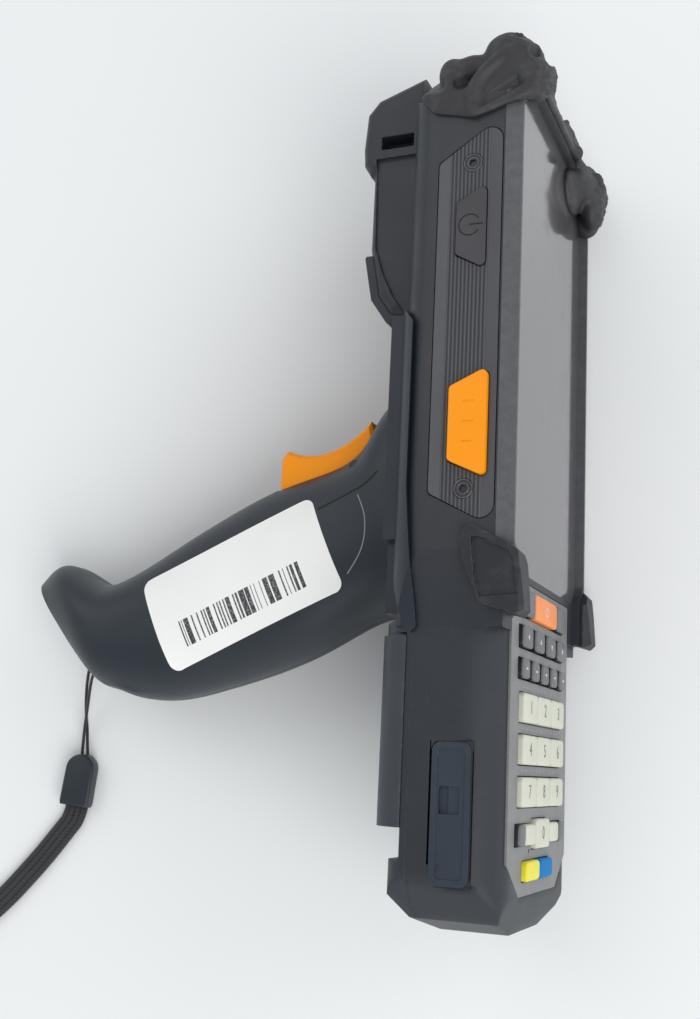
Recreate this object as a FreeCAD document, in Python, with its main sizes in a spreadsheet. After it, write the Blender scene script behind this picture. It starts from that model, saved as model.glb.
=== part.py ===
"""A rugged handheld data terminal with a pistol grip, lying on its right side.

The device frame has X through the depth (screen side positive), Y along the length
(scanning end positive) and Z across the width, with Z = 0 on the middle plane.
Every piece is built there, and REST then lays the terminal on the table: the right
flank and the right side of the grip touch it together.
"""
import FreeCAD
import Part

import math
import os

import Sketcher

doc = FreeCAD.newDocument("terminal")
sheet = doc.addObject("Spreadsheet::Sheet", "Sizes")


class Size:
    """A number together with the spreadsheet expression that gives it."""

    def __init__(self, value, text):
        self.value = float(value)
        self.text = text

    def __float__(self):
        return self.value

    def __add__(self, other):
        return joined(self, "+", other)

    def __radd__(self, other):
        return joined(other, "+", self)

    def __sub__(self, other):
        return joined(self, "-", other)

    def __rsub__(self, other):
        return joined(other, "-", self)

    def __mul__(self, other):
        return joined(self, "*", other)

    def __rmul__(self, other):
        return joined(other, "*", self)

    def __truediv__(self, other):
        return joined(self, "/", other)

    def __neg__(self):
        return joined(0, "-", self)


def as_size(number):
    """Return the number as a Size."""
    return number if isinstance(number, Size) else Size(number, "(%.6f)" % number)


def joined(left, sign, right):
    """Return the Size of an operation on two numbers."""
    left, right = as_size(left), as_size(right)
    results = {
        "+": left.value + right.value,
        "-": left.value - right.value,
        "*": left.value * right.value,
        "/": left.value / (right.value or 1.0),
    }
    return Size(results[sign], "(%s %s %s)" % (left.text, sign, right.text))


def sine(angle):
    """Return the sine of a Size in degrees."""
    return Size(math.sin(math.radians(angle.value)), "sin(%s * 1 deg)" % angle.text)


def cosine(angle):
    """Return the cosine of a Size in degrees."""
    return Size(math.cos(math.radians(angle.value)), "cos(%s * 1 deg)" % angle.text)


def size(name, value):
    """Write one driving dimension into the sheet and return it."""
    size.row += 1
    cell = "A%d" % size.row
    sheet.set(cell, str(value))
    sheet.setAlias(cell, name)
    return Size(value, "Sizes." + name)


size.row = 0

# Fits
running_gap = size("running_gap", 0.3)
seat_gap = size("seat_gap", 0.05)
cut_margin = 4.0

# Housing outline, seen from the screen
half_width = size("half_width", 38.0)
lower_half_width = size("lower_half_width", 35.5)
top_end = size("top_end", 99.5)
top_flat = size("top_flat", 19.0)
top_corner_drop = size("top_corner_drop", 12.0)
bottom_end = size("bottom_end", -107.0)
bottom_flat = size("bottom_flat", 13.0)
bottom_corner_width = size("bottom_corner_width", 27.0)
bottom_corner_rise = size("bottom_corner_rise", 3.6)
bottom_side_rise = size("bottom_side_rise", 13.0)
bottom_round = size("bottom_round", 8.0)
taper_top = size("taper_top", -23.0)
taper_bottom = size("taper_bottom", -40.0)

# Housing depths
glass_depth = size("glass_depth", 11.5)
rim_height = size("rim_height", 2.2)
rim_slope = size("rim_slope", 0.9)
rim_fall = size("rim_fall", 4.5)
glass_thickness = size("glass_thickness", 1.2)
front_wall = size("front_wall", 2.3)
keypad_depth = size("keypad_depth", 11.2)
seam_depth = size("seam_depth", -9.5)
back_depth = size("back_depth", -15.0)
back_round = size("back_round", 8.0)
lower_front_round = size("lower_front_round", 11.0)
lower_back_round = size("lower_back_round", 6.0)
side_wall = size("side_wall", 3.0)
back_wall = size("back_wall", 2.0)
chin_rise = size("chin_rise", 8.5)
chin_depth = size("chin_depth", 3.2)
heel_rise = size("heel_rise", 9.0)
heel_depth = size("heel_depth", 7.0)

# Display
glass_half_width = size("glass_half_width", 36.0)
glass_bottom = size("glass_bottom", -26.0)
glass_top_margin = size("glass_top_margin", 4.3)
glass_corner_rise = size("glass_corner_rise", 10.4)
glass_top = top_end - glass_top_margin
glass_side_top = glass_top - glass_corner_rise
glass_top_half_width = size("glass_top_half_width", 17.5)
glass_corner_drop = size("glass_corner_drop", 5.0)
module_half_width = size("module_half_width", 30.5)
module_top_margin = size("module_top_margin", 11.7)
module_bottom_margin = size("module_bottom_margin", 9.0)
module_top = glass_top - module_top_margin
module_bottom = glass_bottom + module_bottom_margin
module_depth = size("module_depth", 6.8)

# Keypad
bezel_half_width = size("bezel_half_width", 27.8)
bezel_top = size("bezel_top", -27.6)
bezel_bottom = size("bezel_bottom", -98.2)
bezel_bottom_half = size("bezel_bottom_half", 17.5)
bezel_corner_rise = size("bezel_corner_rise", 7.5)
bezel_thickness = size("bezel_thickness", 1.5)
bezel_ledge = size("bezel_ledge", 1.2)
mat_thickness = size("mat_thickness", 1.2)
key_proud = size("key_proud", 1.3)
key_travel = size("key_travel", 0.7)
key_gap = size("key_gap", 0.6)
key_chamfer = size("key_chamfer", 0.5)
digit_pitch_across = size("digit_pitch_across", 13.6)
digit_pitch_along = size("digit_pitch_along", 9.45)
digit_key_height = size("digit_key_height", 7.3)
first_digit_row = size("first_digit_row", -56.4)
arrow_pitch = size("arrow_pitch", 11.4)
arrow_key_width = size("arrow_key_width", 9.2)
arrow_key_height = size("arrow_key_height", 5.6)
arrow_row = size("arrow_row", -40.3)
function_pitch = size("function_pitch", 9.2)
function_key_width = size("function_key_width", 7.0)
function_key_height = size("function_key_height", 5.2)
function_row = size("function_row", -47.6)
scan_key_width = size("scan_key_width", 22.0)
scan_key_height = size("scan_key_height", 6.8)
scan_row = size("scan_row", -32.4)
menu_key_width = size("menu_key_width", 10.6)
menu_key_height = size("menu_key_height", 6.0)
point_key_width = size("point_key_width", 9.2)
shift_key_width = size("shift_key_width", 6.0)
small_key_height = size("small_key_height", 5.2)
colour_row = size("colour_row", -92.8)
colour_key_width = size("colour_key_width", 12.6)
colour_key_height = size("colour_key_height", 5.0)
colour_key_shift = size("colour_key_shift", 2.5)

# Side panels with their buttons and screws
panel_top = size("panel_top", 81.2)
panel_bottom = size("panel_bottom", -18.2)
panel_front = size("panel_front", 9.1)
panel_back = size("panel_back", -6.4)
panel_top_slant = size("panel_top_slant", 10.7)
panel_bottom_slant = size("panel_bottom_slant", 8.2)
panel_thickness = size("panel_thickness", 1.6)
panel_front_round = size("panel_front_round", 3.2)
panel_back_round = size("panel_back_round", 1.6)
screw_line = size("screw_line", 1.9)
upper_screw = size("upper_screw", 69.9)
lower_screw = size("lower_screw", -9.3)
screw_head_radius = size("screw_head_radius", 2.3)
screw_shank_radius = size("screw_shank_radius", 1.1)
screw_head_height = size("screw_head_height", 0.9)
screw_length = size("screw_length", 5.0)
hex_socket = size("hex_socket", 0.9)
screw_sink = size("screw_sink", 0.15)
button_round = size("button_round", 1.2)
button_gap = size("button_gap", 0.25)
button_stem_radius = size("button_stem_radius", 1.5)
button_stem_length = size("button_stem_length", 3.2)
scan_cap = size("scan_cap", 2.2)
power_cap = size("power_cap", 1.4)
power_proud = size("power_proud", 0.4)
power_travel = size("power_travel", 0.4)
power_front = size("power_front", 5.6)
power_back = size("power_back", -1.7)
power_top = size("power_top", 64.0)
power_bottom = size("power_bottom", 42.8)
scan_proud = size("scan_proud", 1.3)
scan_travel = size("scan_travel", 0.8)
scan_front = size("scan_front", 7.2)
scan_back = size("scan_back", -1.8)
scan_top = size("scan_top", 18.6)
scan_bottom = size("scan_bottom", -7.0)
button_slant = size("button_slant", 4.2)

# Bumpers
boot_thickness = size("boot_thickness", 1.5)
boot_skin = size("boot_skin", 1.15)
boot_bottom = size("boot_bottom", 80.9)
boot_end = size("boot_end", 104.5)
boot_front = size("boot_front", 20.0)
boot_bar = size("boot_bar", 1.2)
boot_back = size("boot_back", -12.0)
bumper_front = size("bumper_front", 16.7)
bumper_top = size("bumper_top", -17.8)
bumper_bottom = size("bumper_bottom", -37.4)
bumper_back = size("bumper_back", 2.2)
bumper_inner = size("bumper_inner", 31.0)
bumper_recess = size("bumper_recess", 0.8)

# Scan head on the back
head_half_width = size("head_half_width", 28.0)
head_depth = size("head_depth", -28.0)
head_brow_depth = size("head_brow_depth", -31.3)
head_overhang = size("head_overhang", 2.3)
head_top_slant = size("head_top_slant", 4.6)
head_brow_fall = size("head_brow_fall", 15.7)
head_neck_fall = size("head_neck_fall", 5.5)
head_top_front = top_end + head_overhang
head_top_back = head_top_front - head_top_slant
head_brow = head_top_back - head_brow_fall
head_neck = head_brow - head_neck_fall
head_slope_top = size("head_slope_top", 56.0)
head_bottom = size("head_bottom", 37.6)
head_round = size("head_round", 3.0)
head_wall = size("head_wall", 2.2)
window_half_width = size("window_half_width", 17.0)
window_thickness = size("window_thickness", 1.6)
engine_half_width = size("engine_half_width", 11.0)
engine_height = size("engine_height", 14.0)
strap_slot_height = size("strap_slot_height", 3.6)
strap_slot_depth = size("strap_slot_depth", 5.0)
side_dish_depth = size("side_dish_depth", 1.0)

# Battery and its latch
pack_top = size("pack_top", -37.0)
pack_bottom = size("pack_bottom", -84.0)
pack_depth = size("pack_depth", -18.5)
pack_round = size("pack_round", 8.0)
pack_top_relief = size("pack_top_relief", 2.6)
pack_nose_radius = size("pack_nose_radius", 0.9)
bay_floor = size("bay_floor", -11.0)
bay_bottom = size("bay_bottom", -91.0)
bay_half_width = size("bay_half_width", 33.2)
cell_half_width = size("cell_half_width", 25.0)
cell_top = size("cell_top", -44.0)
cell_bottom = size("cell_bottom", -81.0)
cell_depth = size("cell_depth", -2.6)
latch_half_width = size("latch_half_width", 8.0)
latch_height = size("latch_height", 3.6)
latch_thickness = size("latch_thickness", 2.6)
latch_travel = size("latch_travel", 2.2)

# Circuit board
board_depth = size("board_depth", 1.6)
board_thickness = size("board_thickness", 1.2)
board_margin = size("board_margin", 1.0)
board_top = size("board_top", 93.0)
board_bottom = size("board_bottom", -94.0)
boss_radius = size("boss_radius", 2.6)
upper_boss = size("upper_boss", 90.0)
upper_boss_across = size("upper_boss_across", 20.0)
lower_boss = size("lower_boss", -22.5)
lower_boss_across = size("lower_boss_across", 24.0)

# Side door over the connector
door_top = size("door_top", -65.2)
door_bottom = size("door_bottom", -95.5)
door_hinge_bottom = size("door_hinge_bottom", -91.0)
door_front = size("door_front", 4.9)
door_back = size("door_back", -4.0)
door_step = size("door_step", 3.0)
door_step_room = size("door_step_room", 0.7)
door_thickness = size("door_thickness", 2.3)
door_gap = size("door_gap", 0.25)
door_pin_radius = size("door_pin_radius", 0.6)
door_pin_length = size("door_pin_length", 1.1)
door_pin_inset = size("door_pin_inset", 1.2)
port_half_depth = size("port_half_depth", 2.4)
port_top = size("port_top", -74.0)
port_bottom = size("port_bottom", -86.0)
port_wall = size("port_wall", 0.8)
notch_top = size("notch_top", -74.6)
notch_bottom = size("notch_bottom", -80.6)
notch_depth = size("notch_depth", 0.9)
notch_width = size("notch_width", 3.6)

# Grip frame behind the housing
frame_wing = size("frame_wing", 1.2)
frame_back = size("frame_back", -19.0)
frame_top = size("frame_top", 35.4)
frame_slab_bottom = size("frame_slab_bottom", -19.5)
frame_saddle_half = size("frame_saddle_half", 30.0)
frame_tip = size("frame_tip", -41.3)
frame_half_width = size("frame_half_width", 32.5)
tongue_half_width = size("tongue_half_width", 26.5)
tongue_thickness = size("tongue_thickness", 1.6)

# Pistol grip
grip_start = size("grip_start", -19.1)
grip_root_half = size("grip_root_half", 16.5)
grip_waist_half = size("grip_waist_half", 14.2)
grip_heel_half = size("grip_heel_half", 14.7)
grip_end_half = size("grip_end_half", 9.5)
grip_wall = size("grip_wall", 2.4)
grip_squareness = size("grip_squareness", 2.5)
trigger_half_width = size("trigger_half_width", 7.0)
trigger_slot_floor = size("trigger_slot_floor", -6.2)
trigger_slot_end = size("trigger_slot_end", -60.4)
trigger_slot_start = size("trigger_slot_start", -31.0)
trigger_pin_half = size("trigger_pin_half", 12.0)
trigger_round = size("trigger_round", 0.9)
switch_depth = size("switch_depth", -50.0)
switch_height = size("switch_height", -11.0)
switch_half_width = size("switch_half_width", 3.0)
seam_half_gap = size("seam_half_gap", 0.03)
lanyard_bar_radius = size("lanyard_bar_radius", 1.3)
lanyard_mouth_reach = size("lanyard_mouth_reach", 3.1)
lanyard_mouth_half = size("lanyard_mouth_half", 3.2)
lanyard_boss_radius = size("lanyard_boss_radius", 5.8)
lanyard_depth = size("lanyard_depth", -114.2)
lanyard_height = size("lanyard_height", -44.4)
trigger_pin_radius = size("trigger_pin_radius", 1.5)
trigger_pin_depth = size("trigger_pin_depth", -35.5)
trigger_pin_height = size("trigger_pin_height", 4.0)

# Lanyard
cord_diameter = size("cord_diameter", 1.2)
cap_length = size("cap_length", 14.5)
cap_width = size("cap_width", 8.6)
cap_height = size("cap_height", 5.0)
cap_spread = size("cap_spread", 0.85)
strap_width = size("strap_width", 4.0)
strap_thickness = size("strap_thickness", 2.0)
strap_spread = size("strap_spread", 2.3)

# How the terminal lies on the table
rest_tilt = size("rest_tilt", 12.9)

doc.recompute()

X_AXIS = FreeCAD.Vector(1, 0, 0)
Y_AXIS = FreeCAD.Vector(0, 1, 0)
Z_AXIS = FreeCAD.Vector(0, 0, 1)
ORIGIN = FreeCAD.Vector(0, 0, 0)
PLANES = {"side": "XY_Plane", "section": "XZ_Plane", "front": "YZ_Plane"}
NORMALS = {"side": Z_AXIS, "section": Y_AXIS, "front": X_AXIS}
nodes = {}


def bind(owner, name, value):
    """Give a property its size, through the sheet where the sheet drives it."""
    value = as_size(value)
    owner.setExpression(name, value.text)


def node(label, item):
    """Name a finished piece and keep it for the export."""
    item.Label = label
    nodes[label] = item
    return item


def outline(body, view, points, level):
    """Add a closed sketch of straight edges on one of the body's own planes."""
    sketch = body.newObject("Sketcher::SketchObject", body.Name + "_outline")
    plane = [item for item in body.Origin.OriginFeatures if item.Role == PLANES[view]][0]
    sketch.AttachmentSupport = (plane, [""])
    sketch.MapMode = "FlatFace"
    bind(sketch, "AttachmentOffset.Base.z", level)
    places = [FreeCAD.Vector(float(across), float(along), 0) for across, along in points]
    count = len(places)
    for index, place in enumerate(places):
        sketch.addGeometry(Part.LineSegment(place, places[(index + 1) % count]), False)
    for index in range(count):
        sketch.addConstraint(Sketcher.Constraint("Coincident", index, 2, (index + 1) % count, 1))
    for index, point in enumerate(points):
        for kind, value in zip(("DistanceX", "DistanceY"), point):
            value = as_size(value)
            number = sketch.addConstraint(Sketcher.Constraint(kind, -1, 1, index, 1, value.value))
            sketch.setExpression("Constraints[%d]" % number, value.text)
    return sketch


def edges_along(shape, view, points, chosen):
    """Return the names of the edges that run along the view's normal through points."""
    normal = NORMALS[view]
    places = [spot(view, points[index]) for index in chosen]
    names = []
    for number, edge in enumerate(shape.Edges, 1):
        if not isinstance(edge.Curve, Part.Line) or len(edge.Vertexes) < 2:
            continue
        start = edge.Vertexes[0].Point
        if (edge.Vertexes[1].Point - start).normalize().cross(normal).Length > 1e-6:
            continue
        start = start - normal * start.dot(normal)
        if any((start - place).Length < 1e-4 for place in places):
            names.append("Edge%d" % number)
    return names


def spot(view, point):
    """Return the place in space of a sketch point, at level zero."""
    across, along = float(point[0]), float(point[1])
    places = {
        "side": FreeCAD.Vector(across, along, 0),
        "section": FreeCAD.Vector(across, 0, along),
        "front": FreeCAD.Vector(0, across, along),
    }
    return places[view]


def prism(name, view, points, start, end, rounds=()):
    """Pad an outline from one level to another, with some of its corners rounded.

    rounds holds pairs of corner numbers and a radius.
    """
    body = doc.addObject("PartDesign::Body", name)
    level = -1 * as_size(end) if view == "section" else as_size(start)
    sketch = outline(body, view, points, level)
    pad = body.newObject("PartDesign::Pad", name + "_pad")
    pad.Profile = sketch
    bind(pad, "Length", as_size(end) - as_size(start))
    doc.recompute()
    for corners, radius in rounds:
        names = edges_along(body.Shape, view, points, corners)
        previous = body.Tip
        fillet = body.newObject("PartDesign::Fillet", name + "_round")
        fillet.Base = (previous, names)
        bind(fillet, "Radius", radius)
        body.Tip = fillet
        doc.recompute()
    return body


def box(name, low, high):
    """Make a block between two corners."""
    item = doc.addObject("Part::Box", name)
    for side, corner, other, base in zip(("Length", "Width", "Height"), low, high, "xyz"):
        bind(item, side, as_size(other) - as_size(corner))
        bind(item, "Placement.Base." + base, corner)
    return item


def rod(name, view, centre, start, end, radius):
    """Make a cylinder along a view's normal through a point of that view."""
    item = doc.addObject("Part::Cylinder", name)
    start, end = as_size(start), as_size(end)
    across, along = centre
    turns = {
        "side": (Z_AXIS, 0, (across, along, start)),
        "section": (X_AXIS, -90, (across, start, along)),
        "front": (Y_AXIS, 90, (start, across, along)),
    }
    axis, angle, base = turns[view]
    item.Placement = FreeCAD.Placement(ORIGIN, FreeCAD.Rotation(axis, angle))
    bind(item, "Radius", radius)
    bind(item, "Height", end - start)
    for letter, value in zip("xyz", base):
        bind(item, "Placement.Base." + letter, value)
    return item


def fused(name, items):
    """Join several solids."""
    result = doc.addObject("Part::MultiFuse", name)
    result.Shapes = list(items)
    result.Refine = True
    doc.recompute()
    return result


def shared(name, first, second):
    """Keep what two solids have in common."""
    result = doc.addObject("Part::Common", name)
    result.Base = first
    result.Tool = second
    result.Refine = True
    doc.recompute()
    return result


def cut(name, item, tools):
    """Take several solids away from one."""
    result = doc.addObject("Part::Cut", name)
    result.Base = item
    result.Tool = tools[0] if len(tools) == 1 else fused(name + "_tools", tools)
    result.Refine = True
    doc.recompute()
    return result


def grouped(name, items):
    """Keep several separate solids as one piece."""
    result = doc.addObject("Part::Compound", name)
    result.Links = list(items)
    doc.recompute()
    return result


def mirrored(points):
    """Return an outline whose second half repeats the first across the middle plane."""
    return list(points) + [(across, -1 * as_size(along)) for across, along in reversed(points)]


def grown(points, by):
    """Return side-by-side corners moved outwards along both axes from their middle."""
    middle_x = sum(float(x) for x, y in points) / len(points)
    middle_y = sum(float(y) for x, y in points) / len(points)
    return [
        (x + by * math.copysign(1, float(x) - middle_x), y + by * math.copysign(1, float(y) - middle_y))
        for x, y in points
    ]


# Levels that several pieces share
rim_depth = glass_depth + rim_height
glass_seat = glass_depth - glass_thickness
cavity_front = glass_seat - front_wall
bezel_seat = keypad_depth - bezel_thickness
side_reach = half_width + boot_thickness
panel_seat = half_width - panel_thickness
far = size("far", 60.0)


def housing_outline():
    """Return the outline of the housing, seen from the screen."""
    return mirrored([
        (bottom_end, bottom_flat),
        (bottom_end + bottom_corner_rise, bottom_corner_width),
        (bottom_end + bottom_side_rise, lower_half_width),
        (taper_bottom, lower_half_width),
        (taper_top, half_width),
        (top_end - top_corner_drop, half_width),
        (top_end, top_flat),
    ])


def cavity_outline():
    """Return the outline of the room inside the housing."""
    return mirrored([
        (bottom_end + 2 * side_wall, bottom_flat),
        (bottom_end + bottom_side_rise + 1, bezel_half_width),
        (taper_bottom, bezel_half_width),
        (taper_top + side_wall, half_width - side_wall),
        (top_end - top_corner_drop - 1, half_width - side_wall),
        (top_end - side_wall, top_flat - 1),
    ])


def glass_outline():
    """Return the outline of the display glass."""
    return mirrored([
        (glass_bottom, glass_half_width - glass_corner_drop),
        (glass_bottom + glass_corner_drop, glass_half_width),
        (glass_side_top, glass_half_width),
        (glass_top, glass_top_half_width),
    ])


def bezel_outline():
    """Return the outline of the keypad bezel."""
    return mirrored([
        (bezel_bottom, bezel_bottom_half),
        (bezel_bottom + bezel_corner_rise, bezel_half_width),
        (bezel_top, bezel_half_width),
    ])


def make_housing_block():
    """Make the outer form that the front and rear housings are halves of."""
    upper = mirrored([
        (rim_depth, half_width - rim_slope),
        (rim_depth - rim_fall, half_width),
        (back_depth, half_width),
    ])
    lower = mirrored([(keypad_depth, lower_half_width), (back_depth, lower_half_width)])
    sections = fused("sections", [
        prism("upper_section", "section", upper, taper_bottom, top_end, [((2, 3), back_round)]),
        prism("lower_section", "section", lower, bottom_end, taper_bottom + 1,
              [((0, 3), lower_front_round), ((1, 2), lower_back_round)]),
    ])
    form = prism("housing_form", "front", housing_outline(), back_depth - 1, rim_depth + 1,
                 [((2, 11), bottom_round)])
    block = shared("rough_block", sections, form)
    chin = [
        (keypad_depth, bottom_end + chin_rise),
        (keypad_depth - chin_depth, bottom_end),
        (keypad_depth - chin_depth, bottom_end - 1),
        (far, bottom_end - 1),
        (far, bottom_end + chin_rise),
    ]
    heel = [
        (back_depth, bottom_end + heel_rise),
        (back_depth + heel_depth, bottom_end),
        (back_depth + heel_depth, bottom_end - 1),
        (back_depth - 1, bottom_end - 1),
        (back_depth - 1, bottom_end + heel_rise),
    ]
    return cut("housing_block", block, [
        prism("chin_cut", "side", chin, -1 * far, far),
        prism("heel_cut", "side", heel, -1 * far, far),
        box("rim_end_cut", (keypad_depth, taper_bottom - 1, -1 * far),
            (rim_depth + 2, bumper_bottom + running_gap, far)),
        box("keypad_step_cut", (glass_depth, taper_bottom - 1, bumper_inner * -1),
            (rim_depth + 2, glass_bottom + glass_corner_drop / 2, bumper_inner)),
    ])


housing_block = make_housing_block()

# Keys: each row has its own height, and each key a name, a place across and a width
digit_edge = digit_pitch_across / 2 + point_key_width / 2
shift_edge = digit_pitch_across / 2 + point_key_width + shift_key_width / 2


def key_rows():
    """Return the keypad's rows as (place along, key height, keys)."""
    menu_place = scan_key_width / 2 + menu_key_width / 2
    rows = [
        (scan_row, scan_key_height, [
            ("key_menu", menu_place, menu_key_width),
            ("key_scan", 0, scan_key_width),
            ("key_back", -1 * menu_place, menu_key_width),
        ]),
        (arrow_row, arrow_key_height, [
            ("key_arrow_left", 1.5 * arrow_pitch, arrow_key_width),
            ("key_arrow_up", 0.5 * arrow_pitch, arrow_key_width),
            ("key_arrow_down", -0.5 * arrow_pitch, arrow_key_width),
            ("key_arrow_right", -1.5 * arrow_pitch, arrow_key_width),
        ]),
        (function_row, function_key_height, [
            ("key_function_%d" % (place + 1), (2 - place) * function_pitch, function_key_width)
            for place in range(5)
        ]),
    ]
    for row in range(3):
        rows.append((first_digit_row - row * digit_pitch_along, digit_key_height, [
            ("key_digit_%d" % (3 * row + place + 1), (1 - place) * digit_pitch_across, digit_pitch_across)
            for place in range(3)
        ]))
    rows.append((first_digit_row - 3 * digit_pitch_along, small_key_height, [
        ("key_shift", shift_edge, shift_key_width),
        ("key_point", digit_edge, point_key_width),
        ("key_digit_0", 0, digit_pitch_across),
        ("key_star", -1 * digit_edge, point_key_width),
        ("key_enter", -1 * shift_edge, shift_key_width),
    ]))
    rows.append((colour_row, colour_key_height, [
        ("key_yellow", colour_key_shift + colour_key_width / 2, colour_key_width),
        ("key_blue", colour_key_shift - colour_key_width / 2, colour_key_width),
    ]))
    return rows


def key_corners(place, height, across, width):
    """Return the corners of a key with its share of the gap taken off."""
    half_along = (as_size(height) - key_gap) / 2
    half_across = (as_size(width) - key_gap) / 2
    place, across = as_size(place), as_size(across)
    return [
        (place - half_along, across - half_across),
        (place + half_along, across - half_across),
        (place + half_along, across + half_across),
        (place - half_along, across + half_across),
    ]


def key_height(name, height):
    """Return a key's size along the keypad: the zero key is as tall as the other digits."""
    return digit_key_height if name == "key_digit_0" else height


def make_keys():
    """Make every key as a tapered cap with a chamfered crown."""
    base = cavity_front + key_travel + 0.2
    for place, height, keys in key_rows():
        for name, across, width in keys:
            corners = key_corners(place, key_height(name, height), across, width)
            body = doc.addObject("PartDesign::Body", name)
            pad = body.newObject("PartDesign::Pad", name + "_pad")
            pad.Profile = outline(body, "front", corners, base)
            bind(pad, "Length", keypad_depth + key_proud - base)
            doc.recompute()
            crown = max(face.CenterOfMass.x for face in body.Shape.Faces)
            names = [
                "Edge%d" % number for number, edge in enumerate(body.Shape.Edges, 1)
                if min(vertex.Point.x for vertex in edge.Vertexes) > crown - 1e-4
            ]
            chamfer = body.newObject("PartDesign::Chamfer", name + "_chamfer")
            chamfer.Base = (pad, names)
            bind(chamfer, "Size", key_chamfer)
            body.Tip = chamfer
            doc.recompute()
            node(name, body)


def key_slots(name, extra, start, end):
    """Make one slot for each row of keys, wider than the keys by the gap and an extra."""
    slots = []
    for number, (place, height, keys) in enumerate(key_rows()):
        near = as_size(keys[0][1]) + as_size(keys[0][2]) / 2
        spread = as_size(keys[-1][1]) - as_size(keys[-1][2]) / 2
        half = (as_size(height) + key_gap) / 2 - key_gap / 2 + extra
        place = as_size(place)
        slots.append(box("%s_%d" % (name, number), (start, place - half, spread - extra),
                         (end, place + half, near + extra)))
    zero = key_rows()[6][0]
    half = digit_key_height / 2 + extra
    slots.append(box(name + "_zero", (start, zero - half, digit_pitch_across / -2 - extra),
                     (end, zero + half, digit_pitch_across / 2 + extra)))
    return slots


def panel_outline():
    """Return the outline of a side panel."""
    return [
        (panel_back, panel_bottom + panel_bottom_slant),
        (panel_front, panel_bottom),
        (panel_front, panel_top),
        (panel_back, panel_top - panel_top_slant),
    ]


def button_outline(back, front, bottom, top):
    """Return the outline of a side button, which is shorter at its back edge."""
    return [
        (back, bottom + button_slant),
        (front, bottom),
        (front, top),
        (back, top - button_slant),
    ]


def mirrored_levels(side, low, high):
    """Return two levels across the width, on the left (1) or the right (-1) side."""
    return (as_size(low), as_size(high)) if side > 0 else (-1 * as_size(high), -1 * as_size(low))


def side_prism(name, side, points, low, high, rounds=()):
    """Make a prism that stands on the left or the right side of the terminal."""
    start, end = mirrored_levels(side, low, high)
    return prism(name, "side", points, start, end, rounds)


def side_rod(name, side, centre, low, high, radius):
    """Make a cylinder across the width on the left or the right side."""
    start, end = mirrored_levels(side, low, high)
    return rod(name, "side", centre, start, end, radius)


scan_button_outline = button_outline(scan_back, scan_front, scan_bottom, scan_top)
power_button_outline = button_outline(power_back, power_front, power_bottom, power_top)
scan_middle = ((scan_back + scan_front) / 2, (scan_bottom + scan_top) / 2)
power_middle = ((power_back + power_front) / 2, (power_bottom + power_top) / 2)
screw_places = [(screw_line, upper_screw), (screw_line, lower_screw)]


def make_front_housing():
    """Make the moulded front half: walls, glass seat, bezel seat, panel pockets and openings."""
    front = shared("front_block", housing_block, box("front_half", (seam_depth, -2 * far, -1 * far),
                                                     (rim_depth + 1, 2 * far, far)))
    room = prism("front_room", "front", cavity_outline(), seam_depth - 1, cavity_front)
    shell = cut("front_shell", front, [room])
    bosses = []
    for sign in (1, -1):
        across = sign * upper_boss_across
        bosses.append(rod("upper_boss_%d" % sign, "front", (upper_boss, across), board_depth + board_thickness,
                          cavity_front + 0.5, boss_radius))
        across = sign * lower_boss_across
        bosses.append(rod("lower_boss_%d" % sign, "front", (lower_boss, across), board_depth + board_thickness,
                          cavity_front + 0.5, boss_radius))
        for number, place in enumerate(screw_places):
            bosses.append(side_rod("screw_boss_%d_%d" % (sign, number), sign, place,
                                   panel_seat - screw_length, panel_seat, boss_radius))
    solid = fused("front_solid", [shell] + bosses)
    tools = [
        prism("glass_recess", "front", grown(glass_outline(), seat_gap), glass_seat, rim_depth + 1),
        box("display_window", (cavity_front - 1, module_bottom - seat_gap, -1 * module_half_width - seat_gap),
            (glass_seat + 1, module_top + seat_gap, module_half_width + seat_gap)),
        prism("bezel_recess", "front", grown(bezel_outline(), seat_gap), bezel_seat, rim_depth + 1),
        prism("keypad_window", "front", keypad_window(), cavity_front - 1, bezel_seat + 1),
    ]
    for sign in (1, -1):
        tools += side_cuts(sign)
    tools += door_cuts()
    node("front_housing", cut("front_housing", solid, tools))


def keypad_window():
    """Return the outline of the opening that the keys pass through."""
    return mirrored([
        (bezel_bottom + bezel_ledge, bezel_bottom_half - bezel_ledge / 2),
        (bezel_bottom + bezel_corner_rise + bezel_ledge / 2, bezel_half_width - bezel_ledge),
        (bezel_top - bezel_ledge, bezel_half_width - bezel_ledge),
    ])


def side_cuts(side):
    """Return what the panel, its buttons and its screws take out of the housing's flank."""
    tag = "left" if side > 0 else "right"
    tools = [
        side_prism(tag + "_pocket", side, grown(panel_outline(), button_gap), panel_seat, half_width + 1),
        side_prism(tag + "_scan_well", side, grown(scan_button_outline, button_gap),
                   half_width + scan_proud - scan_cap - scan_travel - running_gap, panel_seat + 1),
        side_rod(tag + "_scan_hole", side, scan_middle, half_width - 2 * side_wall, half_width,
                 button_stem_radius + seat_gap),
    ]
    if side > 0:
        tools.append(side_rod("power_hole", side, power_middle, half_width - 2 * side_wall, half_width,
                              button_stem_radius + seat_gap))
    for number, place in enumerate(screw_places):
        tools.append(side_rod("%s_screw_hole_%d" % (tag, number), side, place,
                              panel_seat - screw_length - 1, half_width, screw_shank_radius + seat_gap / 5))
    return tools


door_seat = lower_half_width - door_thickness
door_pin = (door_back + door_pin_inset, door_seat + door_thickness / 2 - seat_gap)
door_sweep = door_pin_inset * 1.5 + running_gap


def door_outline():
    """Return the outline of the side door: its lower corner steps back from the hinge."""
    return [
        (door_back, door_top),
        (door_back, door_hinge_bottom),
        (door_back + door_step, door_hinge_bottom),
        (door_back + door_step, door_bottom),
        (door_front, door_bottom),
        (door_front, door_top),
    ]


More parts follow.
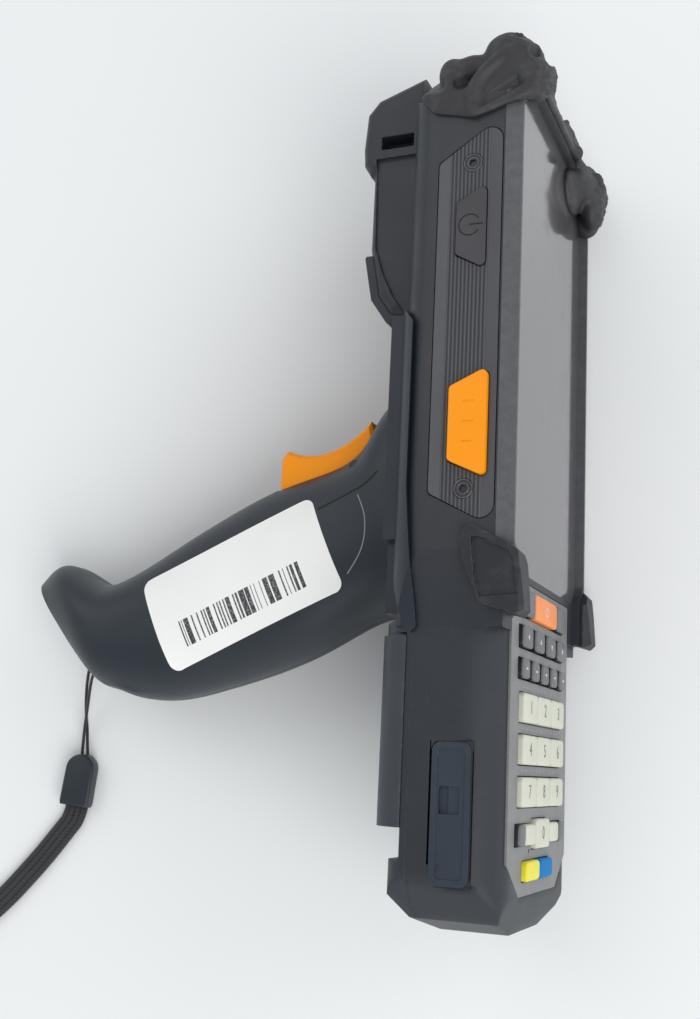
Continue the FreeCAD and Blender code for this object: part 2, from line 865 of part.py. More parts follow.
def door_cuts():
    """Return what the side door, its hinge and the connector take out of the left flank."""
    return [
        prism("door_recess", "side", grown(door_outline(), door_gap), door_seat - door_gap, far),
        rod("door_swing_room", "section", door_pin, door_hinge_bottom - door_gap, door_top + door_gap,
            door_sweep),
        box("door_step_room", (door_back + door_step - door_step_room, door_bottom - door_gap, door_seat - door_gap),
            (door_back + door_step, door_hinge_bottom, far)),
        rod("door_pin_holes", "section", door_pin, door_hinge_bottom - door_pin_length - running_gap,
            door_top + door_pin_length + running_gap, door_pin_radius + seat_gap),
        box("port_pocket", (-1 * port_half_depth - seat_gap, port_bottom - seat_gap, bezel_half_width - 1),
            (port_half_depth + seat_gap, port_top + seat_gap, door_seat + 1)),
    ]


def make_rear_housing():
    """Make the moulded rear half with the battery bay and the foot below it."""
    rear = shared("rear_block", housing_block, box("rear_half", (back_depth - 1, -2 * far, -1 * far),
                                                   (seam_depth, 2 * far, far)))
    upper_room = shared("upper_room", prism("upper_room_form", "front", cavity_outline(), back_depth + back_wall,
                                            seam_depth + 1),
                        box("upper_room_end", (back_depth, pack_top + side_wall, -1 * far), (seam_depth + 1, 2 * far, far)))
    room_section = prism("room_section", "section",
                         mirrored([(cavity_front, half_width - side_wall),
                                   (back_depth + back_wall, half_width - side_wall)]),
                         pack_top, top_end, [((1, 2), back_round - side_wall)])
    node("rear_housing", cut("rear_housing", rear, [
        shared("rear_room", upper_room, room_section),
        box("bay_upper", (back_depth - 1, frame_tip, -1 * bay_half_width),
            (bay_floor, pack_top + running_gap, bay_half_width)),
        box("bay_lower", (back_depth - 1, bay_bottom, -1 * far), (bay_floor, frame_tip, far)),
        box("cell_opening", (bay_floor - 1, cell_bottom - 8 * running_gap, -1 * cell_half_width - running_gap),
            (seam_depth + 1, cell_top + running_gap * 2, cell_half_width + running_gap)),
    ]))


def make_display():
    """Make the glass and the display module behind it."""
    node("display_glass", prism("display_glass", "front", glass_outline(), glass_seat, glass_depth))
    node("display_module", grouped("display_module", [
        box("module_block", (module_depth, module_bottom, -1 * module_half_width),
            (glass_seat, module_top, module_half_width)),
    ]))


def make_keypad():
    """Make the bezel with its openings, the mat under the keys and the keys."""
    plate = prism("bezel_plate", "front", bezel_outline(), bezel_seat, keypad_depth)
    node("keypad_bezel", cut("keypad_bezel", plate,
                             key_slots("key_slot", key_gap / -2 + button_gap, bezel_seat - 1, keypad_depth + 1)))
    mat = prism("mat_plate", "front", keypad_window(), cavity_front - mat_thickness, cavity_front)
    node("keypad_mat", grouped("keypad_mat", [mat]))
    make_keys()


make_front_housing()
make_rear_housing()
make_display()
make_keypad()


def make_scan_head():
    """Make the scan head's cover with its window and the imaging engine inside."""
    profile = [
        (back_depth, head_top_front - running_gap),
        (head_depth + seat_gap * 10, head_top_back),
        (head_brow_depth + 0.7, head_top_back - 3.7),
        (head_brow_depth, head_brow + 2.5),
        (head_brow_depth + 0.3, head_brow - 2),
        (head_depth - 1.2, head_neck + 0.5),
        (head_depth, head_neck),
        (head_depth, head_slope_top),
        (head_depth + 2.5, head_slope_top - 13),
        (head_depth + 6, head_bottom + 0.4),
        (back_depth, head_bottom - 1.1),
    ]
    block = prism("head_block", "side", profile, -1 * head_half_width, head_half_width)
    rim = [number for number, edge in enumerate(block.Shape.Edges, 1)
           if edge.BoundBox.ZLength < 1e-6 and edge.CenterOfMass.x < back_depth.value - 0.5]
    rounded = doc.addObject("Part::Fillet", "head_rounded")
    rounded.Base = block
    rounded.Edges = [(number, head_round.value, head_round.value) for number in rim]
    doc.recompute()
    room = [
        (back_depth + 1, head_top_front - 2 * head_wall),
        (head_depth + head_wall, head_top_back - 1.4 * head_wall),
        (head_brow_depth + 1.5 * head_wall, head_brow + 2.5),
        (head_depth + head_wall, head_neck),
        (head_depth + head_wall, head_slope_top),
        (head_depth + 2.5 + head_wall, head_slope_top - 11),
        (back_depth + 1, head_bottom + 2 * head_wall),
    ]
    inner = head_half_width - strap_slot_depth - head_wall
    tools = [
        prism("head_room", "side", room, -1 * inner, inner),
        window_block("window_recess", seat_gap, 1),
        window_block("window_opening", -1.5, -2 * head_wall),
    ]
    for sign in (1, -1):
        tag = "left" if sign > 0 else "right"
        tools.append(side_prism(tag + "_strap_slot", sign, [
            (back_depth - 2, head_brow + 0.8),
            (head_depth + 2.3, head_brow + 0.8),
            (head_depth + 2.3, head_brow + 0.8 + strap_slot_height),
            (back_depth - 2, head_brow + 0.8 + strap_slot_height),
        ], head_half_width - strap_slot_depth, head_half_width + 1))
        tools.append(side_prism(tag + "_dish", sign, [
            (back_depth - 1, head_neck + 4),
            (back_depth - 1, head_bottom + 0.9),
            (back_depth - 3.3, head_bottom + 1),
            (back_depth - 6, head_bottom + 4.9),
            (back_depth - 9, head_bottom + 11.4),
            (back_depth - 11.2, head_slope_top),
            (back_depth - 11.9, head_neck + 4),
        ], head_half_width - side_dish_depth, head_half_width + 1))
    node("scan_head_cover", cut("scan_head_cover", rounded, tools))
    node("scan_window", grouped("scan_window", [window_block("window_plate", 0, 0)]))
    engine = fused("engine_parts", [
        box("engine_block", (head_depth + head_wall + 1, head_brow - 2, -1 * engine_half_width),
            (back_depth - 0.2, head_brow - 2 + engine_height, engine_half_width)),
        rod("engine_lens", "section", ((head_depth + back_depth) / 2, engine_half_width / 2),
            head_brow + engine_height - 3, head_brow + engine_height - 2, engine_half_width / 3),
        rod("engine_lamp", "section", ((head_depth + back_depth) / 2, engine_half_width / -2),
            head_brow + engine_height - 3, head_brow + engine_height - 2, engine_half_width / 4),
    ])
    node("scan_engine", grouped("scan_engine", [engine]))


def window_block(name, growth, rise):
    """Make a slanted block in the head's top face, from the window's underside to its top and a rise."""
    front = (back_depth - 1.2, head_top_front - running_gap - 0.4)
    back = (head_depth + 1.6, head_top_back + 0.5)
    low = -1 * window_thickness - growth
    high = as_size(rise)
    if high.value < low.value:
        low, high = high, as_size(0)
    half = window_half_width + growth
    return prism(name, "side", [
        (back[0] - growth, back[1] + low),
        (front[0] + growth, front[1] + low),
        (front[0] + growth, front[1] + high),
        (back[0] - growth, back[1] + high),
    ], -1 * half, half)


pack_front = bay_floor - 0.1
pack_pivot = (pack_front - pack_nose_radius, pack_top - pack_nose_radius)


def make_battery():
    """Make the battery pack that hinges out of its bay, and the latch below it."""
    upper = prism("pack_upper", "section",
                  mirrored([(pack_front, bay_half_width - running_gap), (pack_depth, bay_half_width - running_gap)]),
                  frame_tip - 1, pack_top, [((1, 2), pack_round - 1)])
    lower = prism("pack_lower", "section",
                  mirrored([(pack_front, lower_half_width - 0.2), (pack_depth, lower_half_width - 0.2)]),
                  pack_bottom, frame_tip - 2 * running_gap, [((1, 2), pack_round - 1)])
    cells = box("pack_cells", (bay_floor - 1, cell_bottom, -1 * cell_half_width),
                (cell_depth, cell_top, cell_half_width))
    relief = prism("pack_relief", "side", [
        (bay_floor, pack_pivot[1]),
        (pack_pivot[0], pack_pivot[1]),
        (pack_pivot[0], pack_top),
        (pack_depth - 1, pack_top - pack_top_relief),
        (pack_depth - 1, pack_top + 1),
        (bay_floor, pack_top + 1),
    ], -1 * far, far)
    nose = rod("pack_nose", "side", pack_pivot, -1 * bay_half_width + running_gap, bay_half_width - running_gap,
               pack_nose_radius)
    notch = box("pack_notch", (pack_depth - 1, pack_bottom - 1, -1 * latch_half_width - running_gap),
                (bay_floor, pack_bottom + 0.4, latch_half_width + running_gap))
    trimmed = cut("pack_trimmed", fused("pack_solid", [upper, lower, cells]), [relief, notch])
    node("battery_pack", fused("battery_pack", [trimmed, nose]))
    slide = box("latch_block", (pack_depth + 1.2, pack_bottom - latch_height - 0.4, -1 * latch_half_width),
                (bay_floor - 0.1, pack_bottom - 0.4, latch_half_width))
    ridges = [
        box("latch_ridge_%d" % number,
            (pack_depth + 0.6, pack_bottom - latch_height + number * 1.1, -1 * latch_half_width + 1.5),
            (pack_depth + 1.3, pack_bottom - latch_height + 0.5 + number * 1.1, latch_half_width - 1.5))
        for number in range(3)
    ]
    node("battery_latch", grouped("battery_latch", [fused("latch_solid", [slide] + ridges)]))


make_scan_head()
make_battery()


def make_sides():
    """Make both side panels, their screws and their buttons."""
    screws = []
    for sign in (1, -1):
        tag = "left" if sign > 0 else "right"
        plate = side_prism(tag + "_panel_plate", sign, panel_outline(), panel_seat, half_width,
                           [((1, 2), panel_front_round), ((0, 3), panel_back_round)])
        tools = [side_prism(tag + "_panel_opening", sign, grown(scan_button_outline, button_gap),
                            panel_seat - 1, half_width + 1)]
        if sign > 0:
            tools.append(side_prism("power_opening", sign, grown(power_button_outline, button_gap),
                                    panel_seat - 1, half_width + 1))
        for number, place in enumerate(screw_places):
            tools.append(side_rod("%s_head_seat_%d" % (tag, number), sign, place,
                                  half_width - screw_head_height - screw_sink, half_width + 1,
                                  screw_head_radius + running_gap / 3))
            tools.append(side_rod("%s_shank_hole_%d" % (tag, number), sign, place,
                                  panel_seat - 1, half_width, screw_shank_radius + seat_gap))
            screws.append(make_screw("%s_screw_%d" % (tag, number), sign, place))
        node(tag + "_side_panel", cut(tag + "_side_panel", plate, tools))
        make_button(tag + "_scan_button", sign, scan_button_outline, scan_middle, scan_proud, scan_cap)
    make_button("power_button", 1, power_button_outline, power_middle, power_proud, power_cap)
    node("case_screws", grouped("case_screws", screws))


def make_screw(name, side, place):
    """Make one countersunk screw with its socket."""
    top = half_width - screw_sink
    solid = fused(name + "_solid", [
        side_rod(name + "_head", side, place, top - screw_head_height, top, screw_head_radius),
        side_rod(name + "_shank", side, place, top - screw_head_height - screw_length,
                 top - screw_head_height / 2, screw_shank_radius),
    ])
    socket = doc.addObject("Part::Prism", name + "_socket")
    socket.Polygon = 6
    bind(socket, "Circumradius", hex_socket)
    bind(socket, "Height", screw_head_height)
    start, end = mirrored_levels(side, top - screw_head_height / 2, top + screw_head_height / 2)
    for letter, value in zip("xyz", (place[0], place[1], start)):
        bind(socket, "Placement.Base." + letter, value)
    return cut(name, solid, [socket])


def make_button(name, side, points, middle, proud, cap):
    """Make a side button: its cap stands proud and its stem reaches into the housing."""
    top = half_width + proud
    plate = side_prism(name + "_cap", side, points, top - cap, top, [((0, 1, 2, 3), button_round)])
    stem = side_rod(name + "_stem", side, middle, top - cap - button_stem_length, top - cap, button_stem_radius)
    node(name, fused(name, [plate, stem]))


def make_board():
    """Make the main board on its bosses, with its larger components."""
    outline_points = mirrored([
        (board_bottom, bezel_half_width - 4 * board_margin),
        (board_bottom + 3, bezel_half_width - board_margin),
        (taper_bottom, bezel_half_width - board_margin),
        (taper_top + side_wall, panel_seat - screw_length - board_margin / 2),
        (top_end - top_corner_drop - 2, panel_seat - screw_length - board_margin / 2),
        (board_top, panel_seat - screw_length - 9 * board_margin),
    ])
    plate = prism("board_plate", "front", outline_points, board_depth, board_depth + board_thickness)
    parts = [plate]
    for number, (along, across, height, length, width) in enumerate([
        (60, 12, 2.0, 22, 22), (60, -16, 2.0, 16, 24), (28, 8, 1.6, 26, 30), (-4, -14, 2.4, 18, 16),
    ]):
        parts.append(box("chip_%d" % number, (board_depth - height, along - length / 2, across - width / 2),
                         (board_depth + 0.1, along + length / 2, across + width / 2)))
    node("main_board", fused("main_board", parts))


def make_door():
    """Make the side door with its hinge pins, and the connector behind it."""
    block = side_prism("door_block", 1, door_outline(), door_seat, far)
    skin = shared("door_skin", housing_block, block)
    tools = [box("door_notch", (door_front - notch_width, notch_bottom, lower_half_width - notch_depth),
                 (door_front + 1, notch_top, far))]
    solid = cut("door_plate", skin, tools)
    pin = rod("door_pin", "section", door_pin, door_hinge_bottom - door_pin_length,
              door_top + door_pin_length, door_pin_radius)
    node("access_door", fused("access_door", [solid, pin]))
    body = box("port_block", (-1 * port_half_depth, port_bottom, bezel_half_width - 0.5),
               (port_half_depth, port_top, door_pin[1] - door_sweep))
    slot = box("port_slot", (-1 * port_half_depth + port_wall, port_bottom + port_wall, bezel_half_width + 1.5),
               (port_half_depth - port_wall, port_top - port_wall, door_seat))
    tongue = box("port_tongue", (-0.4, port_bottom + 2 * port_wall, bezel_half_width + 1),
                 (0.4, port_top - 2 * port_wall, door_seat - 1))
    node("port_connector", fused("port_connector", [cut("port_shell", body, [slot]), tongue]))


make_sides()
make_board()
make_door()


def make_top_boot():
    """Make the rubber boot round the scanning end, with its proud corner lips."""
    front = mirrored([
        (boot_bottom - 2, half_width + boot_thickness),
        (top_end - top_corner_drop + 1, half_width + boot_thickness),
        (boot_end - 1.3, top_flat + 3.5),
        (boot_end, top_flat),
        (boot_end, top_flat / 2),
        (top_end + boot_bar, top_flat / 4),
    ])
    section = mirrored([
        (boot_front + 1, half_width - 4),
        (boot_front - 3, half_width),
        (rim_depth, half_width + boot_thickness),
        (bumper_back, half_width + boot_thickness),
        (-1 * boot_thickness, half_width + boot_skin),
        (back_depth - boot_skin, half_width + boot_skin),
    ])
    side = [
        (bumper_back, boot_bottom),
        (rim_depth, boot_bottom + 3.2),
        (boot_front - 3.5, boot_bottom + 4.6),
        (boot_front - 0.7, boot_bottom + 7),
        (boot_front, boot_bottom + 13),
        (boot_front - 1.5, top_end - 1),
        (boot_front - 4.5, top_end + 3),
        (rim_depth - 2, boot_end + 0.5),
        (boot_back + 1, boot_end + 0.5),
        (boot_back, top_end + 2),
        (boot_back, boot_bottom + 7),
        (boot_back + 4, boot_bottom + 2.6),
    ]
    form = shared("boot_rough", shared("boot_plan", prism("boot_front", "front", front, boot_back - 1, far),
                                       prism("boot_section", "section", section, boot_bottom - 3, boot_end + 1,
                                             [((5, 6), back_round + boot_skin)])),
                  prism("boot_side", "side", side, -1 * far, far))
    floor = prism("boot_floor", "front", mirrored([
        (boot_bottom - 3, half_width + 0.6),
        (top_end - top_corner_drop + 0.6, half_width + 0.6),
        (boot_end - 2.2, top_flat + 3),
        (boot_end - 2.2, top_flat / 2),
    ]), boot_back - 2, far + 1)
    recess = prism("boot_recess_form", "side", [
        (bumper_back + 0.9, boot_bottom + 1.2),
        (1.2, 88.7),
        (2.0, 90.0),
        (9.3, 94.6),
        (13.2, 97.0),
        (14.3, 95.6),
        (13.9, 93.2),
        (13.4, 88.2),
        (6.0, 84.9),
    ], -1 * far, far)
    node("top_boot", cut("top_boot", form, [
        housing_block,
        cut("boot_recess", recess, [floor]),
        prism("boot_glass_room", "front", grown(glass_outline(), 0.8), glass_depth - 1, far),
        box("boot_middle_room", (rim_depth + 1.4, boot_bottom, top_flat / -1.2), (far, 2 * far, top_flat / 1.2)),
    ]))


def make_mid_bumpers():
    """Make the rubber bumper on each flank beside the top of the keypad."""
    side = [
        (bumper_back - 0.3, bumper_top - 1.3),
        (bumper_back + 0.4, bumper_top),
        (bumper_back + 2.6, bumper_top - 0.1),
        (bumper_front - 3.1, bumper_top - 4.4),
        (bumper_front - 1.3, bumper_top - 6.2),
        (bumper_front - 0.7, bumper_top - 11.1),
        (bumper_front, bumper_bottom + 0.9),
        (bumper_front - 1.7, bumper_bottom - 0.3),
        (bumper_back + 4.6, bumper_bottom + 2),
        (bumper_back + 0.3, bumper_top - 7.7),
    ]
    recess = [
        (bumper_back + 2.3, bumper_top - 2.6),
        (bumper_back + 4.1, bumper_top - 2.8),
        (bumper_front - 3.5, bumper_top - 6),
        (bumper_front - 2.4, bumper_top - 7.6),
        (bumper_front - 1.5, bumper_bottom + 4),
        (bumper_back + 4.6, bumper_bottom + 3.4),
        (bumper_back + 3.3, bumper_top - 12.4),
    ]
    top = half_width + boot_thickness
    for sign in (1, -1):
        tag = "left" if sign > 0 else "right"
        section = [
            (bumper_back - 1, sign * (bumper_inner + 1)),
            (bumper_front - 2, sign * bumper_inner),
            (bumper_front + 0.1, sign * (bumper_inner + 2)),
            (bumper_front + 0.1, sign * (top - 1.2)),
            (bumper_front - 1.1, sign * top),
            (bumper_back - 1, sign * top),
        ]
        form = shared(tag + "_bumper_rough",
                      side_prism(tag + "_bumper_side", sign, side, bumper_inner - 1, top + 1),
                      prism(tag + "_bumper_section", "section", section, bumper_bottom - 1, bumper_top + 1))
        node(tag + "_mid_bumper", cut(tag + "_mid_bumper", form, [
            housing_block,
            side_prism(tag + "_bumper_recess", sign, recess, top - bumper_recess, top + 1),
            prism(tag + "_bumper_glass_room", "front", grown(glass_outline(), running_gap), glass_seat, far),
        ]))


def make_grip_plate():
    """Make the plate that carries the grip and wraps round the housing's rear edges."""
    wing_half = half_width + frame_wing
    wing_form = shared("wing_form",
                       prism("wing_plan", "front", mirrored([
                           (frame_tip - 1, lower_half_width + frame_wing),
                           (taper_bottom, lower_half_width + frame_wing),
                           (taper_top, wing_half),
                           (frame_top + 1, wing_half),
                       ]), frame_back, 0),
                       prism("wing_section", "section",
                             mirrored([(0, wing_half), (back_depth - frame_wing, wing_half)]),
                             frame_tip - 1, frame_top + 1, [((1, 2), back_round + frame_wing)]))
    slab = box("plate_slab", (frame_back, frame_slab_bottom, -1 * frame_half_width),
               (back_depth + 1, frame_top, frame_half_width))
    profile = prism("wing_profile", "side", [
        (bay_floor - 0.7, frame_top - 3.4),
        (back_depth + 0.5, frame_top),
        (frame_back, frame_top),
        (frame_back, frame_slab_bottom),
        (bay_floor - 0.3, frame_tip + 1.1),
        (bay_floor + 1.2, frame_tip),
        (bay_floor + 2.5, frame_tip + 1.3),
        (bay_floor + 2.1, frame_tip + 7.3),
        (bay_floor + 0.4, frame_slab_bottom + 0.2),
        (bay_floor - 0.7, frame_slab_bottom + 11.5),
    ], -1 * far, far)
    saddle = box("plate_saddle", (pack_depth, pack_top + 2 * running_gap, -1 * frame_saddle_half),
                 (back_depth + 1, frame_slab_bottom + 1, frame_saddle_half))
    tongue = prism("plate_tongue", "side", [
        (back_depth + 1, frame_top - 1),
        (frame_back, frame_top - 1),
        (frame_back, frame_top),
        (head_depth + 5, frame_top + 1),
        (head_depth + 0.8, head_bottom + 5),
        (head_depth - tongue_thickness + 0.3, head_slope_top - 2.2),
        (head_depth - tongue_thickness + 0.6, head_slope_top - 1.6),
        (head_depth + 1.2, head_slope_top - 1.6),
        (back_depth + 1, head_bottom + 1),
    ], -1 * tongue_half_width, tongue_half_width)
    form = fused("plate_form", [shared("wings_and_slab", fused("wings_with_slab", [wing_form, slab]), profile),
                                saddle, tongue])
    node("grip_plate", cut("grip_plate", form, [
        housing_block,
        doc.getObject("head_rounded"),
        box("plate_pack_room", (frame_back - 1, frame_tip - 2, -1 * bay_half_width - running_gap),
            (0, pack_top + 2 * running_gap, bay_half_width + running_gap)),
    ]))


make_top_boot()
make_mid_bumpers()
make_grip_plate()


def half_section(side, upper, lower, half_thickness, inset=0.0):
    """Return half of a square-shouldered oval about the line from upper to lower, closed along the seam."""
    upper = FreeCAD.Vector(float(upper[0]), float(upper[1]), 0)
    lower = FreeCAD.Vector(float(lower[0]), float(lower[1]), 0)
    middle = (upper + lower) * 0.5
    along = (upper - lower).normalize()
    reach = (upper - lower).Length / 2 - inset
    depth = half_thickness - inset - seam_half_gap.value
    power = 2.0 / grip_squareness.value
    points = []
    for step in range(9):
        angle = math.pi * step / 8
        across, aside = math.cos(angle), max(math.sin(angle), 0.0)
        rise = seam_half_gap.value + depth * aside ** power
        points.append(middle + along * (reach * math.copysign(abs(across) ** power, across))
                      + Z_AXIS * (side * rise))
    curve = Part.BSplineCurve()
    curve.interpolate(Points=points)
    return Part.Wire([curve.toShape(), Part.LineSegment(points[-1], points[0]).toShape()])


def grip_stations():
    """Return the grip's sections as (upper point, lower point, half thickness)."""
    root, waist = grip_root_half.value, grip_waist_half.value
    heel, end = grip_heel_half.value, grip_end_half.value
    start = grip_start.value
    return [
        ((start, 22.0), (start, -34.0), root),
        ((start - 13.9, 14.0), (start - 11.9, -34.5), root - 0.2),
        ((start - 25.9, 5.0), (start - 26.9, -42.2), root - 0.9),
        ((start - 40.9, 0.5), (start - 42.9, -49.0), waist + 0.8),
        ((start - 55.9, -6.5), (start - 55.9, -53.0), waist + 0.2),
        ((start - 70.9, -15.0), (start - 68.9, -56.0), waist),
        ((start - 85.6, -23.3), (start - 81.9, -55.5), waist + 0.4),
        ((start - 91.9, -25.0), (start - 85.9, -54.3), heel + 0.2),
        ((start - 99.9, -22.0), (start - 89.4, -53.5), heel),
        ((start - 108.9, -19.3), (start - 92.9, -51.8), heel - 2.0),
        ((start - 115.4, -24.0), (start - 95.9, -47.5), end),
    ]


def feature(name, shape):
    """Keep a shape that plain primitives do not reach."""
    item = doc.addObject("Part::Feature", name)
    item.Shape = shape
    return item


def make_grip():
    """Make the two shells of the pistol grip, with bosses for the trigger's pin and its switch."""
    stations = grip_stations()
    wall = grip_wall.value
    rooms = stations[:-1]
    upper, lower, half = rooms[0]
    rooms[0] = ((upper[0] - wall, upper[1] - 1.6), (lower[0] - wall, lower[1]), half)
    upper, lower, half = rooms[-1]
    rooms[-1] = ((upper[0] + wall, upper[1] - 1), (lower[0] + wall, lower[1]), half)
    for sign in (1, -1):
        make_grip_half("left" if sign > 0 else "right", sign, stations, rooms, wall)


def mouth_outline():
    """Return the outline of the opening round the lanyard's bar, which faces the way that the cord leaves."""
    out_depth, out_height = -0.77, -0.639
    reach = lanyard_mouth_reach
    return [
        (lanyard_depth + (-1 * out_height - out_depth) * reach, lanyard_height + (out_depth - out_height) * reach),
        (lanyard_depth + (out_height - out_depth) * reach, lanyard_height + (-1 * out_depth - out_height) * reach),
        (lanyard_depth + (out_height + 3 * out_depth) * reach, lanyard_height + (3 * out_height - out_depth) * reach),
        (lanyard_depth + (3 * out_depth - out_height) * reach, lanyard_height + (3 * out_height + out_depth) * reach),
    ]


def make_grip_half(tag, sign, stations, rooms, wall):
    """Make one shell of the grip."""
    pin = (trigger_pin_depth, trigger_pin_height)
    slot_half = trigger_half_width + running_gap
    outer = feature("grip_outer_" + tag, Part.makeLoft(
        [half_section(sign, *station) for station in stations], True, False))
    inner = feature("grip_inner_" + tag, Part.makeLoft(
        [half_section(sign, *station, inset=wall) for station in rooms], True, False))
    ribs = []
    for name, place, width, low, high, start in (
        ("switch", switch_depth, 1.5, switch_height - 14, switch_height, switch_half_width + seat_gap),
        ("lanyard", lanyard_depth + 9, 1.2, lanyard_height - 3, lanyard_height + 16, seam_half_gap - 1),
    ):
        ribs.append(side_prism("%s_%s_rib" % (tag, name), sign, [
            (place - width, low),
            (place + width, low),
            (place + width, high),
            (place - width, high),
        ], start, grip_root_half + grip_wall))
    webs = [
        side_rod(tag + "_pin_boss", sign, pin, slot_half, grip_root_half + grip_wall, 2.2 * trigger_pin_radius),
        side_rod(tag + "_lanyard_boss", sign, lanyard_bar, seam_half_gap - 1, lanyard_mouth_half + 1,
                 lanyard_boss_radius),
    ] + ribs
    solid = cut("grip_solid_" + tag, outer, [cut("grip_room_" + tag, inner, webs)])
    mouth = cut("lanyard_mouth_" + tag,
                side_prism("lanyard_room_" + tag, sign, mouth_outline(), seam_half_gap - 1, lanyard_mouth_half),
                [side_rod("lanyard_bar_" + tag, sign, lanyard_bar, seam_half_gap - 2, lanyard_mouth_half + 1,
                          lanyard_bar_radius)])
    low, high = mirrored_levels(sign, seam_half_gap - 1, slot_half)
    node("grip_%s_shell" % tag, cut("grip_%s_shell" % tag, solid, [
        box("trigger_slot_" + tag, (trigger_slot_end, trigger_slot_floor, low), (trigger_slot_start, far, high)),
        side_rod("trigger_pin_hole_" + tag, sign, pin, seam_half_gap - 1, trigger_pin_half + running_gap,
                 trigger_pin_radius + seat_gap / 2),
        mouth,
    ]))


def make_trigger():
    """Make the trigger with its finger face, its pin and the switch that it presses."""
    pin = FreeCAD.Vector(trigger_pin_depth.value, trigger_pin_height.value, 0)
    places = [FreeCAD.Vector(x, y, 0) for x, y in [
        (-21.6, 6.3), (-23.0, 5.0), (-23.5, 3.0), (-23.5, -4.6), (-6.5, -1.4),
        (2.6, -2.0), (3.4, 2.0), (2.5, 10.6), (1.8, 13.2), (-3.2, 8.7), (-9.7, 5.5), (-17.3, 5.0),
    ]]
    places = [pin + place for place in places]
    edges = [
        Part.Arc(places[0], places[1], places[2]).toShape(),
        Part.LineSegment(places[2], places[3]).toShape(),
        Part.LineSegment(places[3], places[4]).toShape(),
        Part.LineSegment(places[4], places[5]).toShape(),
        Part.Arc(places[5], places[6], places[7]).toShape(),
        Part.LineSegment(places[7], places[8]).toShape(),
        Part.Arc(places[8], places[9], places[10]).toShape(),
        Part.Arc(places[10], places[11], places[0]).toShape(),
    ]
    half = trigger_half_width.value
    solid = Part.Face(Part.Wire(edges)).extrude(Z_AXIS * 2 * half)
    solid.translate(Z_AXIS * -half)
    rims = [edge for edge in solid.Edges
            if abs(abs(edge.CenterOfMass.z) - half) < 1e-6 and edge.CenterOfMass.y > pin.y + 4]
    form = feature("trigger_form", solid.makeChamfer(trigger_round.value, rims))
    place = (trigger_pin_depth, trigger_pin_height)
    bore = rod("trigger_bore", "side", place, -1 * far, far, trigger_pin_radius + seat_gap)
    node("trigger", cut("trigger", form, [bore]))
    node("trigger_pin", grouped("trigger_pin", [
        rod("trigger_pin_rod", "side", place, -1 * trigger_pin_half, trigger_pin_half, trigger_pin_radius),
    ]))
    block = box("switch_block", (switch_depth - 5, switch_height - 7, -1 * switch_half_width),
                (switch_depth + 5, switch_height, switch_half_width))
    lever = prism("switch_lever", "side", [
        (switch_depth - 4.5, switch_height - 0.5),
        (switch_depth + 4.5, switch_height - 0.5),
        (switch_depth + 4.5, switch_height + 0.4),
        (switch_depth - 4.5, switch_height + 1.2),
    ], switch_half_width / -2, switch_half_width / 2)
    node("trigger_switch", fused("trigger_switch", [block, lever]))


lanyard_bar = (lanyard_depth, lanyard_height)
make_grip()
make_trigger()


def laid(place):
    """Turn a place in the device frame to the tilted frame, where Z points away from the table."""
    return TILT.multVec(place)


def path(points):
    """Return a wire of straight runs through points, joined by tangent arcs, and the arcs' radii."""
    edges, radii = [], []
    last = points[0]
    for before, here, after in zip(points, points[1:], points[2:]):
        inward = (here - before).normalize()
        outward = (after - here).normalize()
        turn = inward.getAngle(outward)
        reach = 0.45 * min((here - before).Length, (after - here).Length)
        start, end = here - inward * reach, here + outward * reach
        radius = reach / math.tan(turn / 2)
        bisector = (outward - inward).normalize()
        centre = here + bisector * (radius / math.cos(turn / 2))
        middle = centre - bisector * radius
        edges.append(Part.LineSegment(last, start).toShape())
        edges.append(Part.Arc(start, middle, end).toShape())
        radii.append(round(radius, 1))
        last = end
    edges.append(Part.LineSegment(last, points[-1]).toShape())
    return edges, radii


def swept(name, edges, profile):
    """Sweep a profile along joined edges and report its volume against section times length."""
    wire = Part.Wire(edges)
    solid = wire.makePipeShell([profile], True, False)
    section = Part.Face(profile).Area
    print("%s: length %.1f mm, volume %.1f, section times length %.1f"
          % (name, wire.Length, solid.Volume, section * wire.Length))
    return solid


